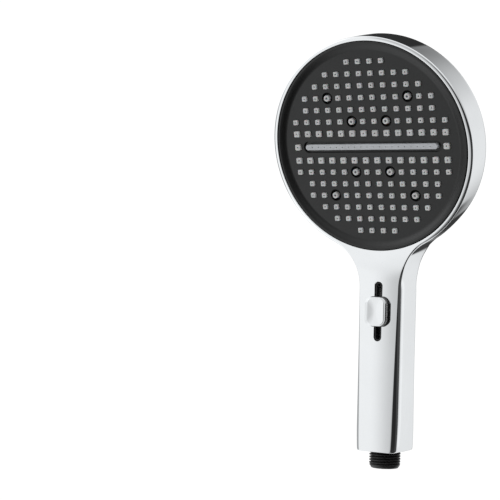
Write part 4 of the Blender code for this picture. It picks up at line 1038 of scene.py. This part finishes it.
def build_inlet(black):
    """The nipple: helical thread, rounded nose, stepped bore, flange and spigot."""
    bm = bmesh.new()
    segments, rows = 160, 150
    lip, lip_out = 0.3 * MM, 0.4 * MM  # rounding of the end face's inner and outer edge
    inside = [(BORE_RADIUS, SPIGOT_TOP), (BORE_RADIUS, WASHER_SEAT)]
    inside += [(WASHER_BORE_RADIUS, WASHER_SEAT), (WASHER_BORE_RADIUS, 0.7 * MM)]
    inside += arc((WASHER_BORE_RADIUS + lip, NOSE_START - 0.1 * MM), lip, 180, 270, 3)
    inside += arc((NOSE_RADIUS - lip_out, NOSE_START), lip_out, 270, 350, 5)
    sections = [at_height(circle(radius, segments), z) for radius, z in inside]
    for row in range(rows + 1):
        z = NOSE_START + (THREAD_TOP - NOSE_START) * row / rows
        loop = []
        for k in range(segments):
            angle = 2 * math.pi * k / segments
            radius = thread_radius(angle, z)
            loop.append((radius * math.cos(angle), radius * math.sin(angle), z))
        sections.append(loop)
    outside = [(THREAD_ROOT_RADIUS, NECK_TOP), (SPIGOT_RADIUS, NECK_TOP)]
    outside.append((SPIGOT_RADIUS, SPIGOT_TOP))
    sections += [at_height(circle(radius, segments), z) for radius, z in outside]
    rings = add_skin(bm, sections, cap_start=False, cap_end=False)
    add_band(bm, rings[-1], rings[0])
    nipple = make_object("inlet_nipple", bm, black, sharp=50)

    low, edge = HANDLE_END + 0.5 * MM, 0.3 * MM
    middle = (0, 0.3 * MM)  # of the handle's depth, behind the thread's axis
    loops = []
    for inset, z in ((edge, low), (0.0, low + edge), (0.0, FLANGE_TOP)):
        width, depth = FLANGE_SIZE[0] - 2 * inset, FLANGE_SIZE[1] - 2 * inset
        loops.append(at_height(rounded_rectangle(width, depth, FLANGE_CORNER - inset, middle), z))
    flange = lofted("inlet_flange", loops, black)
    bore = [circle(THREAD_ROOT_RADIUS - 0.5 * MM, 96)]
    cut(flange, prisms("flange_bore", bore, 10 * MM, 17 * MM, black))
    for piece in (nipple, flange):
        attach(piece, "housing")
    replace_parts(nipple, "inlet_connector")


# ---------------------------------------------------------------- assembly


NODE_KINDS = {
    "body_shell": "chrome",
    "slider_cap": "chrome",
    "face_plate": "face",
    "nozzle_mat": "silicone",
    "curtain_jet_bar": "bar",
    "slide_track": "black",
    "slider_carriage": "black",
    "inlet_connector": "black",
    "slider_grip": "black",
    "filter_screen": "steel",
    "drive_pin": "steel",
}
KINDS_BY_WORD = {"seal": "rubber", "gasket": "rubber", "screw": "steel", "spring": "steel"}


def dress_nodes(materials):
    """Gives every CAD node its own material: the rest are white acetal inside the body."""
    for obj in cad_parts.values():
        by_word = [kind for word, kind in KINDS_BY_WORD.items() if word in obj.name]
        kind = by_word[0] if by_word else NODE_KINDS.get(obj.name, "white")
        obj.data.materials.clear()
        obj.data.materials.append(materials[kind])


def main():
    bpy.context.scene.view_settings.view_transform = "Standard"
    add_camera()
    add_floor()
    build_world()
    materials = {
        "chrome": chrome_material(),
        "face": plastic_material("face_plastic", 0.006, 0.37, specular=0.6),
        "silicone": silicone_material(),
        "bar": plastic_material("bar_plastic", 0.54, 0.4, (0.97, 0.99, 1.03), spread=0.05),
        # Darker and duller than the face plastic: painted shade for the round recesses around the
        # massage nozzles.
        "recess": plastic_material("recess_painted_shade", 0.003, 0.6, specular=0.15),
        "black": plastic_material("black_plastic", 0.014, 0.34),
        # Mid grey on the black grip's ribs: painted highlight standing in for their sheen.
        "grip": plastic_material("grip_rib_painted_highlight", 0.34, 0.25, grain=3400),
        "white": plastic_material("acetal", 0.72, 0.4, (1.0, 0.99, 0.97), spread=0.04),
        "rubber": plastic_material("black_rubber", 0.018, 0.65, grain=1800),
        "steel": steel_material(),
    }
    dress_nodes(materials)
    build_shell(materials["chrome"], materials["black"])
    build_face(materials["face"], materials["recess"])
    build_nozzles(materials["silicone"])
    build_bar(materials["bar"])
    build_cap(materials["chrome"])
    build_grip(materials["black"], materials["grip"])
    build_inlet(materials["black"])


main()
